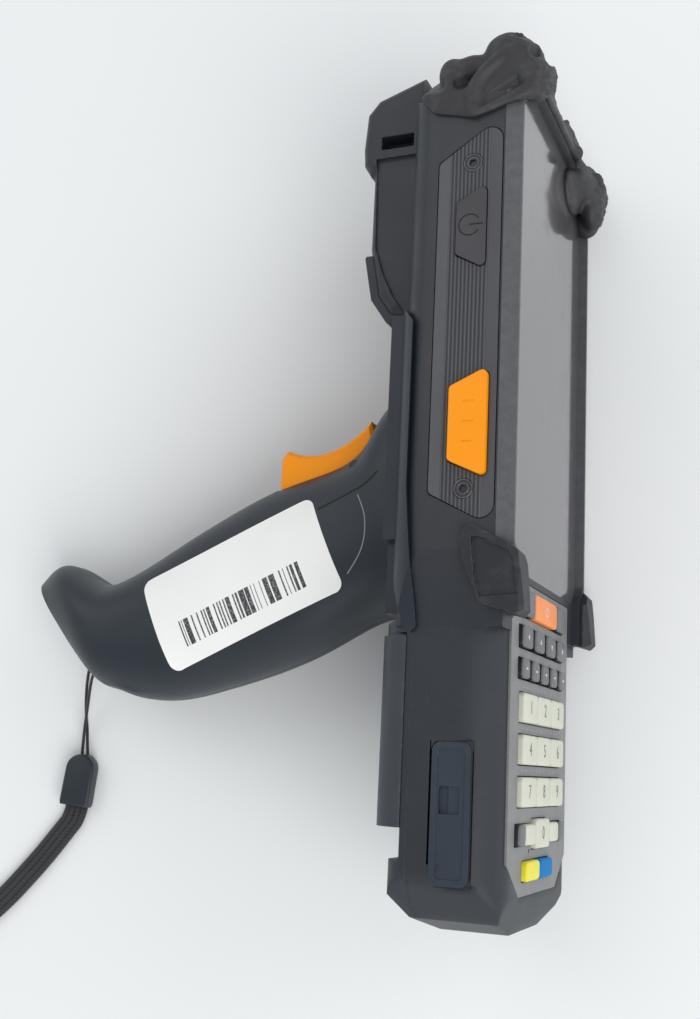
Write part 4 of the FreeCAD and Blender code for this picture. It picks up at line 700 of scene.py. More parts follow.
class Shelf:
    """All finishes, each made once when it is first asked for."""

    KINDS = {finish.name: finish for finish in (
        RimmedHousing("housing", (0.014, 0.018, 0.026), 0.50, speckle=0.03, depth=0.016, end_rounding=3.2),
        Moulded("rear_housing", (0.013, 0.018, 0.028), 0.48, speckle=0.02, end_rounding=3.2),
        Moulded("grip", (0.012, 0.019, 0.028), 0.40, grain=0.25, depth=0.006, wear=0.2, rounding=0.3),
        Moulded("grip_plate", (0.007, 0.013, 0.023), 0.45, depth=0.009, wear=0.25),
        Moulded("battery", (0.029, 0.037, 0.049), 0.44, depth=0.010, rounding=0.9),
        Moulded("scan_head", (0.015, 0.016, 0.024), 0.46, depth=0.010, rounding=0.5),
        Moulded("door", (0.019, 0.030, 0.048), 0.42, depth=0.008),
        RibbedPanel("side_panel", (0.054, 0.054, 0.064), 0.44, depth=0.006, cloud=0.05, wear=0.15),
        WornRubber("rubber", (0.023, 0.023, 0.027), 0.55, grain=0.5, depth=0.015, wear=0.6, rounding=0.45),
        WornRubber("bumper_rubber", (0.008, 0.010, 0.016), 0.55, grain=0.5, depth=0.015, wear=0.5,
                   rounding=0.5, patch=0.18),
        Moulded("power_cap", (0.044, 0.043, 0.050), 0.50, depth=0.005),
        Moulded("orange", (1.0, 0.315, 0.0), 0.45, depth=0.004, cloud=0.02, wear=0.0, rounding=0.35, gloss=0.25),
        Moulded("orange_key", (0.84, 0.26, 0.07), 0.45, depth=0.004, cloud=0.05, wear=0.1, rounding=0.3),
        Moulded("ivory", (0.57, 0.58, 0.485), 0.42, depth=0.005, cloud=0.04, wear=0.0, rounding=0.2),
        Moulded("yellow", (0.76, 0.68, 0.03), 0.40, depth=0.004, cloud=0.05, wear=0.0, rounding=0.2, gloss=0.35),
        Moulded("blue", (0.0, 0.17, 0.46), 0.6, depth=0.004, cloud=0.05, wear=0.0, rounding=0.2, gloss=0.12),
        DarkKey("dark_key", (0.115, 0.122, 0.130), 0.46, depth=0.005, wear=0.15, rounding=0.2),
        Moulded("bezel", (0.185, 0.186, 0.190), 0.50, depth=0.010, speckle=0.30, cloud=0.10),
        Moulded("inner_mat", (0.035, 0.035, 0.037), 0.7),
        Moulded("dark_filter", (0.006, 0.006, 0.009), 0.12, depth=0.001, coat=0.5),
        ScreenGlass(),
        Metal("black_steel", (0.05, 0.05, 0.055), 0.38),
        Metal("pale_steel", (0.16, 0.16, 0.17), 0.34),
        Metal("bright_steel", (0.45, 0.45, 0.46), 0.30),
        Board(),
        Woven("strap_yarn", (0.034, 0.035, 0.040), 1.1, 4.0, 0.10),
        Woven("cord_yarn", (0.022, 0.022, 0.026), 1.1, 1.0, 0.08),
        PlainLabel(),
        Paint("white_print", (0.62, 0.63, 0.64)),
        Paint("dark_print", (0.045, 0.048, 0.055)),
        Paint("grey_print", (0.25, 0.26, 0.27)),
        Paint("digit_print", (0.16, 0.17, 0.17)),
        # Painted shade: near black, for the door's gap, the grip's seam, the microphone's hole and the cut power
        # symbol.
        Paint("groove", (0.006, 0.007, 0.009), 0.7),
    )}

    def __init__(self) -> None:
        """Start with an empty shelf."""
        self.made: dict[str, bpy.types.Material] = {}

    def dress(self, item: bpy.types.Object, name: str) -> bpy.types.Object:
        """Give an object one finish.

        Args:
            item: A CAD node or a piece.
            name: The finish's name.

        Returns:
            The object.
        """
        if name not in self.made:
            self.made[name] = self.KINDS[name].make()
        item.data.materials.clear()
        item.data.materials.append(self.made[name])
        return item


# ---------------------------------------------------------------- modelling


class Bench:
    """Short ways to the operators, with nothing left selected by chance."""

    @staticmethod
    def hold(*items: bpy.types.Object) -> bpy.types.Object:
        """Select only these objects and make the first active.

        Args:
            items: The objects, with the one to make active first.

        Returns:
            The first object.
        """
        if bpy.context.object is not None and bpy.context.object.mode != "OBJECT":
            bpy.ops.object.mode_set(mode="OBJECT")
        bpy.ops.object.select_all(action="DESELECT")
        for item in items:
            item.select_set(True)
        bpy.context.view_layer.objects.active = items[0]
        return items[0]

    @staticmethod
    def started(name: str) -> bpy.types.Object:
        """Name the primitive that was just added, and return it as the only one held.

        Args:
            name: The name it gets.

        Returns:
            The primitive.
        """
        item = bpy.context.object
        item.name = name
        item.data.name = name
        return Bench.hold(item)

    @staticmethod
    def linked(name: str, data: bpy.types.ID) -> bpy.types.Object:
        """Put new data into the scene as an object.

        Args:
            name: The object's name.
            data: The object's data.

        Returns:
            The object.
        """
        item = bpy.data.objects.new(name, data)
        bpy.context.scene.collection.objects.link(item)
        return item

    @staticmethod
    def finished(name: str, build: bmesh.types.BMesh) -> bpy.types.Object:
        """Turn a mesh under construction into a piece.

        Args:
            name: The piece's name.
            build: The mesh under construction.

        Returns:
            The piece.
        """
        mesh = bpy.data.meshes.new(name)
        build.to_mesh(mesh)
        build.free()
        return Bench.linked(name, mesh)

    @staticmethod
    def scaled(item: bpy.types.Object, size: Place) -> bpy.types.Object:
        """Scale the held piece, and leave the scale and its place in its mesh.

        Args:
            item: The piece.
            size: The scale along each axis.

        Returns:
            The piece.
        """
        item.scale = size
        bpy.ops.object.transform_apply(location=True, rotation=True, scale=True)
        return item

    @staticmethod
    def box(name: str, size: Place, middle: Place) -> bpy.types.Object:
        """Add a box by its size and middle, in millimetres of the device frame."""
        bpy.ops.mesh.primitive_cube_add(size=1.0, location=middle)
        return Bench.scaled(Bench.started(name), size)

    @staticmethod
    def rod(name: str, radius: float, depth: float, sides: int = 24) -> bpy.types.Object:
        """Add an upright cylinder about the origin."""
        bpy.ops.mesh.primitive_cylinder_add(radius=radius, depth=depth, vertices=sides, location=(0, 0, 0))
        return Bench.started(name)

    @staticmethod
    def bevel_edges(item: bpy.types.Object, width: float, segments: int,
                    chosen: Callable[[Vector, Vector], bool] | None = None) -> None:
        """Bevel the edges whose two ends pass a test, or all of them.

        Args:
            item: The piece.
            width: The bevel's width.
            segments: Its segments.
            chosen: Takes an edge's two ends and says whether it is bevelled.
        """
        Bench.hold(item)
        bpy.ops.object.mode_set(mode="EDIT")
        bpy.ops.mesh.select_mode(type="EDGE")
        bpy.ops.mesh.select_all(action="DESELECT")
        mesh = bmesh.from_edit_mesh(item.data)
        for edge in mesh.edges:
            edge.select_set(chosen is None or chosen(edge.verts[0].co, edge.verts[1].co))
        bmesh.update_edit_mesh(item.data)
        bpy.ops.mesh.bevel(offset=width, segments=segments, affect="EDGES")
        bpy.ops.object.mode_set(mode="OBJECT")

    @staticmethod
    def apply(item: bpy.types.Object, kind: str, **settings: object) -> None:
        """Add a modifier, set it and apply it.

        Args:
            item: The piece.
            kind: The modifier's type.
            settings: The modifier's own settings.
        """
        Bench.hold(item)
        modifier = item.modifiers.new(kind.lower(), kind)
        for key, value in settings.items():
            setattr(modifier, key, value)
        bpy.ops.object.modifier_apply(modifier=modifier.name)

    @staticmethod
    def carve(item: bpy.types.Object, tool: bpy.types.Object) -> None:
        """Take a tool's shape out of a piece, and put the tool away."""
        Bench.apply(item, "BOOLEAN", operation="DIFFERENCE", object=tool, solver="EXACT")
        bpy.data.objects.remove(tool)

    @staticmethod
    def join(items: Sequence[bpy.types.Object]) -> bpy.types.Object:
        """Join several objects into the first.

        Args:
            items: The objects, with the one that stays first.

        Returns:
            The joined object.
        """
        Bench.hold(*items)
        bpy.ops.object.join()
        return bpy.context.object

    @staticmethod
    def settle(item: bpy.types.Object, matrix: Matrix) -> bpy.types.Object:
        """Place a piece, and leave its object at the origin with the place in its mesh.

        Args:
            item: The piece.
            matrix: Where the piece goes.

        Returns:
            The piece.
        """
        Bench.hold(item)
        item.matrix_world = matrix @ item.matrix_world
        bpy.ops.object.transform_apply(location=True, rotation=True, scale=True)
        return item

    @staticmethod
    def smooth(item: bpy.types.Object, angle: float = 32.0) -> bpy.types.Object:
        """Shade a piece smooth up to an angle in degrees.

        Args:
            item: The piece.
            angle: The widest angle between faces that still shade as one, in degrees.

        Returns:
            The piece.
        """
        Bench.hold(item)
        bpy.ops.object.shade_smooth_by_angle(angle=math.radians(angle))
        return item

    @staticmethod
    def outward(item: bpy.types.Object) -> bpy.types.Object:
        """Merge doubles and turn every face outwards.

        Args:
            item: The piece.

        Returns:
            The piece.
        """
        Bench.hold(item)
        bpy.ops.object.mode_set(mode="EDIT")
        bpy.ops.mesh.select_all(action="SELECT")
        bpy.ops.mesh.remove_doubles(threshold=DOUBLES)
        bpy.ops.mesh.normals_make_consistent(inside=False)
        bpy.ops.object.mode_set(mode="OBJECT")
        return item

    @staticmethod
    def copy_of(node: str, name: str) -> bpy.types.Object:
        """Copy a CAD node's mesh, merge its loose triangles and return it as a new piece.

        Args:
            node: The CAD node's name.
            name: The piece's name.

        Returns:
            The new piece.
        """
        item = Bench.hold(Bench.linked(name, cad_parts[node].data.copy()))
        bpy.ops.object.mode_set(mode="EDIT")
        bpy.ops.mesh.select_all(action="SELECT")
        bpy.ops.mesh.remove_doubles(threshold=DOUBLES)
        bpy.ops.object.mode_set(mode="OBJECT")
        return item

    @staticmethod
    def glyph(name: str, text: str, height: float, thickness: float) -> bpy.types.Object:
        """Make a plain character as a thin solid mesh, facing up.

        Args:
            name: The piece's name.
            text: The character.
            height: The type size.
            thickness: The solid's thickness.

        Returns:
            The mesh object.
        """
        bpy.ops.object.text_add(location=(0, 0, 0))
        item = Bench.started(name)
        item.data.body = text
        item.data.size = height
        item.data.extrude = thickness / 2
        item.data.resolution_u = 4
        item.data.align_x = "CENTER"
        item.data.align_y = "CENTER"
        bpy.ops.object.convert(target="MESH")
        return Bench.started(name)


def splined(name: str, route: Sequence[Place]) -> bpy.types.Curve:
    """Return a curve whose one smooth spline follows a route.

    Args:
        name: The curve's name.
        route: The route's points.

    Returns:
        The curve, in no object yet.
    """
    curve = bpy.data.curves.new(name, "CURVE")
    curve.dimensions = "3D"
    spline = curve.splines.new("NURBS")
    spline.points.add(len(route) - 1)
    for point, place in zip(spline.points, route):
        point.co = (*place, 1.0)
    spline.order_u = 3
    spline.use_endpoint_u = True
    spline.resolution_u = 12
    return curve


def traced(name: str, route: Sequence[Place]) -> list[Vector]:
    """Return the points of a route's smooth line.

    Args:
        name: The curve's name.
        route: The route's points.

    Returns:
        The points along the NURBS spline.
    """
    carrier = Bench.linked(name, splined(name, route))
    bpy.context.view_layer.update()
    line = bpy.data.meshes.new_from_object(carrier)
    points = [vertex.co.copy() for vertex in line.vertices]
    bpy.data.objects.remove(carrier)
    bpy.data.meshes.remove(line)
    return points


def slab(name: str, outline: Outline, low: float, high: float) -> bpy.types.Object:
    """Make a flat solid from an outline across two levels.

    Args:
        name: The piece's name.
        outline: The outline's corners.
        low: The level that it starts on.
        high: The level that it ends on.

    Returns:
        The mesh object.
    """
    mesh = bpy.data.meshes.new(name)
    mesh.from_pydata([(x, y, low) for x, y in outline], [], [tuple(range(len(outline)))])
    item = Bench.hold(Bench.linked(name, mesh))
    bpy.ops.object.mode_set(mode="EDIT")
    bpy.ops.mesh.select_all(action="SELECT")
    bpy.ops.mesh.extrude_region_move(TRANSFORM_OT_translate={"value": (0.0, 0.0, high - low)})
    bpy.ops.object.mode_set(mode="OBJECT")
    return Bench.outward(item)


def rounded(outline: Outline, radii: Sequence[float]) -> list[tuple[float, float]]:
    """Return an outline with its corners rounded.

    Args:
        outline: The corners.
        radii: Each corner's radius.

    Returns:
        The rounded outline.
    """
    points = []
    for number, radius in enumerate(radii):
        points += corner_arc(outline, number, radius)
    return points


def oblong(low: tuple[float, float], high: tuple[float, float], radius: float) -> list[tuple[float, float]]:
    """Return a rectangle between two opposite corners, with all its corners rounded alike."""
    (x0, y0), (x1, y1) = low, high
    return rounded([(x0, y0), (x1, y0), (x1, y1), (x0, y1)], (radius,) * 4)


def corner_arc(outline: Outline, number: int, radius: float,
               steps: int = 8) -> list[tuple[float, float]]:
    """Return the arc that rounds one corner of an outline.

    Args:
        outline: The corners.
        number: Which corner.
        radius: The arc's radius.
        steps: The points on the arc.

    Returns:
        The arc's points, in the outline's order.
    """
    here = Vector(outline[number])
    back = (Vector(outline[number - 1]) - here).normalized()
    ahead = (Vector(outline[(number + 1) % len(outline)]) - here).normalized()
    half = back.angle(ahead) / 2
    middle = here + (back + ahead).normalized() * (radius / math.sin(half))
    first = here + back * (radius / math.tan(half)) - middle
    last = here + ahead * (radius / math.tan(half)) - middle
    turn = first.angle_signed(last)
    return [tuple(middle + Matrix.Rotation(-turn * step / steps, 2) @ first) for step in range(steps + 1)]


def reach(node: bpy.types.Object) -> tuple[Vector, Vector]:
    """Return the lowest and highest corners of a CAD node in the terminal's own frame.

    Args:
        node: The CAD node.

    Returns:
        The lowest and the highest corner, in millimetres.
    """
    back = DEVICE.inverted()
    places = [back @ vertex.co for vertex in node.data.vertices]
    return (Vector([min(place[axis] for place in places) for axis in range(3)]),
            Vector([max(place[axis] for place in places) for axis in range(3)]))


def on(side: Side, place: Place) -> Matrix:
    """Return the matrix that puts a flat detail, made about the origin, onto a side of the terminal."""
    return DEVICE @ Matrix.Translation(place) @ side.turn()


# ---------------------------------------------------------------- sub-assemblies


@dataclass
class Casing:
    """The moulded casings, which keep their CAD shape."""

    finishes: dict[str, str] = field(default_factory=lambda: {
        "front_housing": "housing", "rear_housing": "rear_housing", "scan_head_cover": "scan_head",
        "scan_window": "dark_filter", "scan_engine": "inner_mat", "battery_pack": "battery",
        "battery_latch": "battery", "left_side_panel": "side_panel", "right_side_panel": "side_panel",
        "case_screws": "black_steel", "main_board": "circuit_board", "access_door": "door",
        "port_connector": "bright_steel", "grip_plate": "grip_plate", "grip_left_shell": "grip",
        "grip_right_shell": "grip", "trigger": "orange", "trigger_pin": "grip",
        "trigger_switch": "inner_mat", "left_scan_button": "orange", "right_scan_button": "orange",
        "power_button": "power_cap", "display_glass": "screen_glass", "display_module": "inner_mat",
        "keypad_bezel": "bezel", "keypad_mat": "inner_mat", "top_boot": "rubber",
        "left_mid_bumper": "bumper_rubber", "right_mid_bumper": "bumper_rubber", "cord_cap": "grip",
        "lanyard_cord": "cord_yarn", "wrist_strap": "strap_yarn",
    })

    def dress(self, shelf: Shelf) -> None:
        """Give every CAD node its finish.

        Args:
            shelf: The finishes.
        """
        for name, finish in self.finishes.items():
            shelf.dress(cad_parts[name], finish)
        log.info("casing: %d nodes dressed", len(self.finishes))


@dataclass
class Keypad:
    """The keys' caps, their finishes and their plain legends, and the small print between them."""

    key_top: float = 12.5
    plate: float = 11.2
    digit_rows: tuple[float, ...] = (-56.4, -65.85, -75.3, -84.75)
    digit_pitch: float = 13.6
    digit_height: float = 4.3
    mark_thickness: float = 0.05
    corner: float = 1.25
    shoulder: float = 0.5
    print_rise: float = 4.72
    print_bars: tuple[tuple[float, float], ...] = ((-3.0, 1.7), (0.6, 2.6), (4.0, 1.3))
    print_level: float = 0.02
    microphone: tuple[float, float] = (-88.5, 8.7)

    def caps(self, shelf: Shelf) -> None:
        """Make each key's cap with round corners and a soft shoulder, in its own finish.

        Args:
            shelf: The finishes.
        """
        special = {"key_scan": "orange_key", "key_yellow": "yellow", "key_blue": "blue",
                   "key_point": "ivory", "key_star": "ivory"}
        for name, node in list(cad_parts.items()):
            if not name.startswith("key_"):
                continue
            finish = special.get(name, "ivory" if name.startswith("key_digit") else "dark_key")
            shelf.dress(node, finish)
            low, high = reach(node)
            item = Bench.box(name + "_cap", tuple(high - low), tuple((low + high) / 2))
            Bench.bevel_edges(item, self.corner, 5,
                              lambda a, b: abs(a.y - b.y) < LEVEL and abs(a.z - b.z) < LEVEL)
            Bench.bevel_edges(item, self.shoulder, 3,
                              lambda a, b, top=high.x: a.x > top - LEVEL and b.x > top - LEVEL)
            Bench.settle(item, DEVICE)
            Bench.smooth(item, 50.0)
            shelf.dress(item, finish)
            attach(item, name)
            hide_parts(name)
        log.info("keypad: caps made")

    def mark(self, shelf: Shelf, item: bpy.types.Object, key: str, finish: str) -> None:
        """Lay a mark on the middle of a key's top.

        Args:
            shelf: The finishes.
            item: The mark, made about the origin.
            key: The key that carries it.
            finish: Its finish.
        """
        low, high = reach(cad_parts[key])
        middle = (low + high) / 2
        Bench.settle(item, on(Side.SCREEN, (self.key_top + self.mark_thickness / 2, middle.y, middle.z)))
        shelf.dress(item, finish)
        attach(item, key)

    def build(self, shelf: Shelf) -> None:
        """Make the digits, the arrows and the small marks.

        Args:
            shelf: The finishes.
        """
        for number in range(10):
            item = Bench.glyph("digit_%d_mark" % number, str(number), self.digit_height, self.mark_thickness)
            self.mark(shelf, item, "key_digit_%d" % number, "digit_print")
        for turn, name in enumerate(("right", "up", "left", "down")):
            bpy.ops.mesh.primitive_cylinder_add(vertices=3, radius=0.85, depth=self.mark_thickness,
                                                rotation=(0, 0, math.pi / 2 * turn - math.pi / 2))
            item = Bench.started("arrow_%s_mark" % name)
            bpy.ops.object.transform_apply(location=True, rotation=True, scale=True)
            self.mark(shelf, item, "key_arrow_%s" % name, "white_print")
        for number in range(1, 6):
            item = Bench.box("function_%d_mark" % number, (1.5, 0.45, self.mark_thickness), (0, 0, 0))
            self.mark(shelf, item, "key_function_%d" % number, "white_print")
        bpy.ops.mesh.primitive_torus_add(major_radius=0.95, minor_radius=0.16, major_segments=32, minor_segments=6)
        ring = Bench.scaled(Bench.started("scan_key_mark"), (1.5, 1.0, 0.1))
        self.mark(shelf, ring, "key_scan", "white_print")
        self.plate_marks(shelf)
        log.info("keypad: legends laid")

    def plate_marks(self, shelf: Shelf) -> None:
        """Print the short plain bars above the digit keys, and lay a thin near-black disc of painted shade where the
        microphone's hole is.

        Args:
            shelf: The finishes.
        """
        bars = []
        for row in self.digit_rows[:3]:
            for column in (-1, 0, 1):
                for shift, width in self.print_bars:
                    across = column * self.digit_pitch + shift
                    bar = Bench.box("bar", (width, 0.5, 0.04), (0, 0, 0))
                    place = (self.plate + self.print_level, row + self.print_rise, -across)
                    bars.append(Bench.settle(bar, on(Side.SCREEN, place)))
        marks = Bench.join(bars)
        marks.name = "keypad_print"
        shelf.dress(marks, "grey_print")
        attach(marks, "terminal")
        hole = Bench.rod("microphone_hole_shade", 0.45, 0.06, 16)
        Bench.settle(hole, on(Side.SCREEN, (self.plate + self.print_level, *self.microphone)))
        # Painted shade: a near-black disc stands for the microphone's hole.
        shelf.dress(hole, "groove")
        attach(hole, "terminal")


@dataclass
class FlankDetails:
    """What is cut into the left flank's buttons: the power symbol, drawn as a flat near-black mark of painted shade,
    and three short bars.
    """

    power_place: tuple[float, float] = (1.6, 54.0)
    power_top: float = 38.4
    symbol_radius: float = 2.6
    line: float = 0.36
    scan_top: float = 39.3
    dashes: tuple[float, ...] = (10.7, 6.0, 1.3)
    dash_size: Place = (2.6, 0.35, 0.16)
    dash_line: float = 2.9
    stand_off: float = 0.01
    opening: float = 0.62

    def build(self, shelf: Shelf) -> None:
        """Make the power symbol and the bars.

        Args:
            shelf: The finishes.
        """
        bpy.ops.mesh.primitive_torus_add(major_radius=self.symbol_radius, minor_radius=self.line / 2,
                                         major_segments=64, minor_segments=8)
        ring = Bench.started("power_symbol_cut_shade")
        bpy.ops.object.mode_set(mode="EDIT")
        bpy.ops.mesh.select_mode(type="VERT")
        bpy.ops.mesh.select_all(action="DESELECT")
        mesh = bmesh.from_edit_mesh(ring.data)
        for vertex in mesh.verts:
            vertex.select_set(vertex.co.y > 0 and abs(vertex.co.x) < vertex.co.y * self.opening)
        bmesh.update_edit_mesh(ring.data)
        bpy.ops.mesh.delete(type="VERT")
        bpy.ops.mesh.select_all(action="SELECT")
        bpy.ops.mesh.fill_holes(sides=0)
        bpy.ops.object.mode_set(mode="OBJECT")
        bar = Bench.box("bar", (self.line, self.symbol_radius * 1.25, self.line), (0, self.symbol_radius * 0.62, 0))
        symbol = Bench.scaled(Bench.join([ring, bar]), (1.0, 1.0, 0.12))
        place = (*self.power_place, self.power_top + self.stand_off)
        Bench.settle(symbol, on(Side.LEFT, place) @ Matrix.Rotation(-math.pi / 2, 4, "Z"))
        symbol.name = "power_symbol_cut_shade"
        # Painted shade: the cut symbol is drawn as a flat near-black mark.
        shelf.dress(symbol, "groove")
        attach(symbol, "power_button")
        for sign, body in ((1, "left_scan_button"), (-1, "right_scan_button")):
            bars = []
            for along in self.dashes:
                bar = Bench.box("bar", self.dash_size, (0, 0, 0))
                Bench.bevel_edges(bar, 0.07, 2)
                place = (self.dash_line, along, sign * (self.scan_top + self.stand_off))
                bars.append(Bench.settle(bar, DEVICE @ Matrix.Translation(place)))
            joined = Bench.join(bars)
            joined.name = body + "_bars"
            shelf.dress(joined, "orange")
            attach(joined, body)
        log.info("flank: symbol and bars made")


@dataclass
class FlankOpenings:
    """The moulded corners round the flank panels and buttons, and the lid over the side port."""

    gap: float = 0.25
    flush: float = 38.0
    depth: float = 1.5
    panel: tuple[tuple[float, float], ...] = ((-6.4, -10.0), (9.1, -18.2), (9.1, 81.2), (-6.4, 70.5))
    panel_radii: tuple[float, ...] = (1.6, 3.2, 3.2, 1.6)
    scan_button: tuple[tuple[float, float], ...] = ((-1.8, -2.8), (7.2, -7.0), (7.2, 18.6), (-1.8, 14.4))
    power_button: tuple[tuple[float, float], ...] = ((-1.7, 47.0), (5.6, 42.8), (5.6, 64.0), (-1.7, 59.8))
    button_radius: float = 1.2
    screw_line: float = 1.9
    screws: tuple[float, ...] = (69.9, -9.3)
    screw_top: float = 37.86
    screw_rings: tuple[tuple[float, float], ...] = ((2.12, 0.17), (1.30, 0.12))
    lid: tuple[tuple[float, float], ...] = ((-4.0, -95.6), (4.9, -95.6), (4.9, -65.2), (-4.0, -65.2))
    lid_radius: float = 1.9
    lid_flush: float = 35.5
    lid_thickness: float = 2.2
    lid_rise: float = 0.06
    lid_cuts: tuple[tuple[str, tuple[float, float], tuple[float, float], float, float], ...] = (
        ("sunk", (-2.7, -94.2), (3.6, -66.6), 1.2, 0.22),
        ("notch", (-2.3, -80.6), (2.4, -74.6), 0.5, 0.75),
        ("deep", (-2.3, -80.6), (-2.3 + 2.1, -74.6), 0.5, 1.3),
    )
    pin_radius: float = 0.6
    pin_length: float = 28.0
    pin_place: Place = (-2.8, -78.1, 34.35)
    groove_depth: float = 0.5
    groove_rise: float = 0.012
    swing_size: Place = (4.0, 40.0, 6.0)
    swing_middle: Place = (-4.8, -80.4, 35.0)

    def grown(self, outline: Outline, by: float) -> list[tuple[float, float]]:
        """Return an outline moved outwards by a gap.

        Args:
            outline: The outline's corners.
            by: The gap.

        Returns:
            The larger outline.
        """
        grown = []
        for number, place in enumerate(outline):
            here = Vector(place)
            back = (here - Vector(outline[number - 1])).normalized()
            ahead = (Vector(outline[(number + 1) % len(outline)]) - here).normalized()
            outward = Vector((back.y + ahead.y, -back.x - ahead.x)).normalized()
            grown.append(tuple(here + outward * (by / max(outward.dot(Vector((back.y, -back.x))), 0.2))))
        return grown

    def corners(self, name: str, outline: Outline, radii: Sequence[float],
                top: float, sign: int) -> list[bpy.types.Object]:
        """Fill the sharp corners of an opening up to the round corners of what sits in it.

        Args:
            name: The pieces' name.
            outline: The outline of what sits in the opening.
            radii: Its corners' radii.
            top: The level of the surface round it.
            sign: 1 for the left flank, -1 for the right.

        Returns:
            The corner pieces.
        """
        hole = self.grown(outline, self.gap)
        pieces = []
        for number, radius in enumerate(radii):
            arc = corner_arc(hole, number, radius + self.gap)
            shape = [hole[number]] + arc[::-1]
            piece = slab("%s_%d" % (name, number), shape, sign * (top - self.depth), sign * (top - 0.01))
            pieces.append(Bench.settle(piece, DEVICE))
        return pieces

    def build(self, shelf: Shelf) -> None:
        """Make the corners and the screws' rings on both flanks, and the lid.

        Args:
            shelf: The finishes.
        """
        radii = (self.button_radius,) * 4
        for sign, side in ((1, "left"), (-1, "right")):
            self.kept(shelf, side + "_panel_corners", "housing",
                      self.corners("corner", self.panel, self.panel_radii, self.flush, sign))
            pieces = self.corners("corner", self.scan_button, radii, self.flush, sign)
            if sign > 0:
                pieces += self.corners("corner", self.power_button, radii, self.flush, sign)
            self.kept(shelf, side + "_button_corners", "side_panel", pieces)
            # Paler steel rings on each screw head's rim and round its hex recess.
            rings = []
            for along in self.screws:
                for major, minor in self.screw_rings:
                    bpy.ops.mesh.primitive_torus_add(major_radius=major, minor_radius=minor, major_segments=40,
                                                     minor_segments=8)
                    ring = Bench.started("ring")
                    Bench.settle(ring, DEVICE @ Matrix.Translation((self.screw_line, along, sign * self.screw_top)))
                    rings.append(ring)
            self.kept(shelf, side + "_screw_rings", "pale_steel", rings)
        self.door(shelf)
        log.info("flank: corners, rings and lid made")

    def kept(self, shelf: Shelf, name: str, finish: str, pieces: Sequence[bpy.types.Object]) -> None:
        """Join small pieces of the flank into one, dress it and ride it on the terminal.

        Args:
            shelf: The finishes.
            name: The piece's name.
            finish: The finish's name.
            pieces: The small pieces.
        """
        joined = Bench.join(pieces)
        joined.name = name
        shelf.dress(Bench.smooth(joined), finish)
        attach(joined, "terminal")

    def door(self, shelf: Shelf) -> None:
        """Make the side port's lid with its border, its finger notch and its hinge pin, and what frames it.

        Args:
            shelf: The finishes.
        """
        outline = rounded(self.lid, (self.lid_radius,) * 4)
        lid = slab("access_door_lid", outline, self.lid_flush - self.lid_thickness, self.lid_flush + self.lid_rise)
        for name, low, high, radius, deep in self.lid_cuts:
            Bench.carve(lid, slab(name, oblong(low, high, radius), self.lid_flush - deep, self.lid_flush + 1.0))
        bpy.ops.mesh.primitive_cylinder_add(radius=self.pin_radius, depth=self.pin_length, vertices=24,
                                            location=self.pin_place, rotation=(math.pi / 2, 0, 0))
        pin = Bench.started("pin")
        lid = Bench.join([lid, pin])
        Bench.settle(lid, DEVICE)
        shelf.dress(Bench.smooth(lid), "door")
        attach(lid, "access_door")
        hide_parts("access_door")
        frame_corners = self.corners("corner", self.lid, (self.lid_radius,) * 4, self.lid_flush, 1)
        self.kept(shelf, "door_frame_corners", "housing", frame_corners[1:])
        bpy.data.objects.remove(frame_corners[0])
        self.groove(shelf)

    def groove(self, shelf: Shelf) -> None:
        """Make the thin near-black ring of painted shade that fills the gap round the lid, open on the hinge's side
        where the lid swings through.

        Args:
            shelf: The finishes.
        """
        # Painted shade: a near-black ring fills the gap between the lid and the casing.
        groove = slab("door_gap_shade", rounded(self.grown(self.lid, self.gap), (self.lid_radius + self.gap,) * 4),
                      self.lid_flush - self.groove_depth, self.lid_flush + self.groove_rise)
        Bench.carve(groove, slab("room", rounded(self.grown(self.lid, 0.01), (self.lid_radius,) * 4),
                                 self.lid_flush - 3.0, self.lid_flush + 1.0))
        Bench.carve(groove, Bench.box("swing", self.swing_size, self.swing_middle))
        Bench.settle(groove, DEVICE)
        shelf.dress(groove, "groove")
        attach(groove, "terminal")


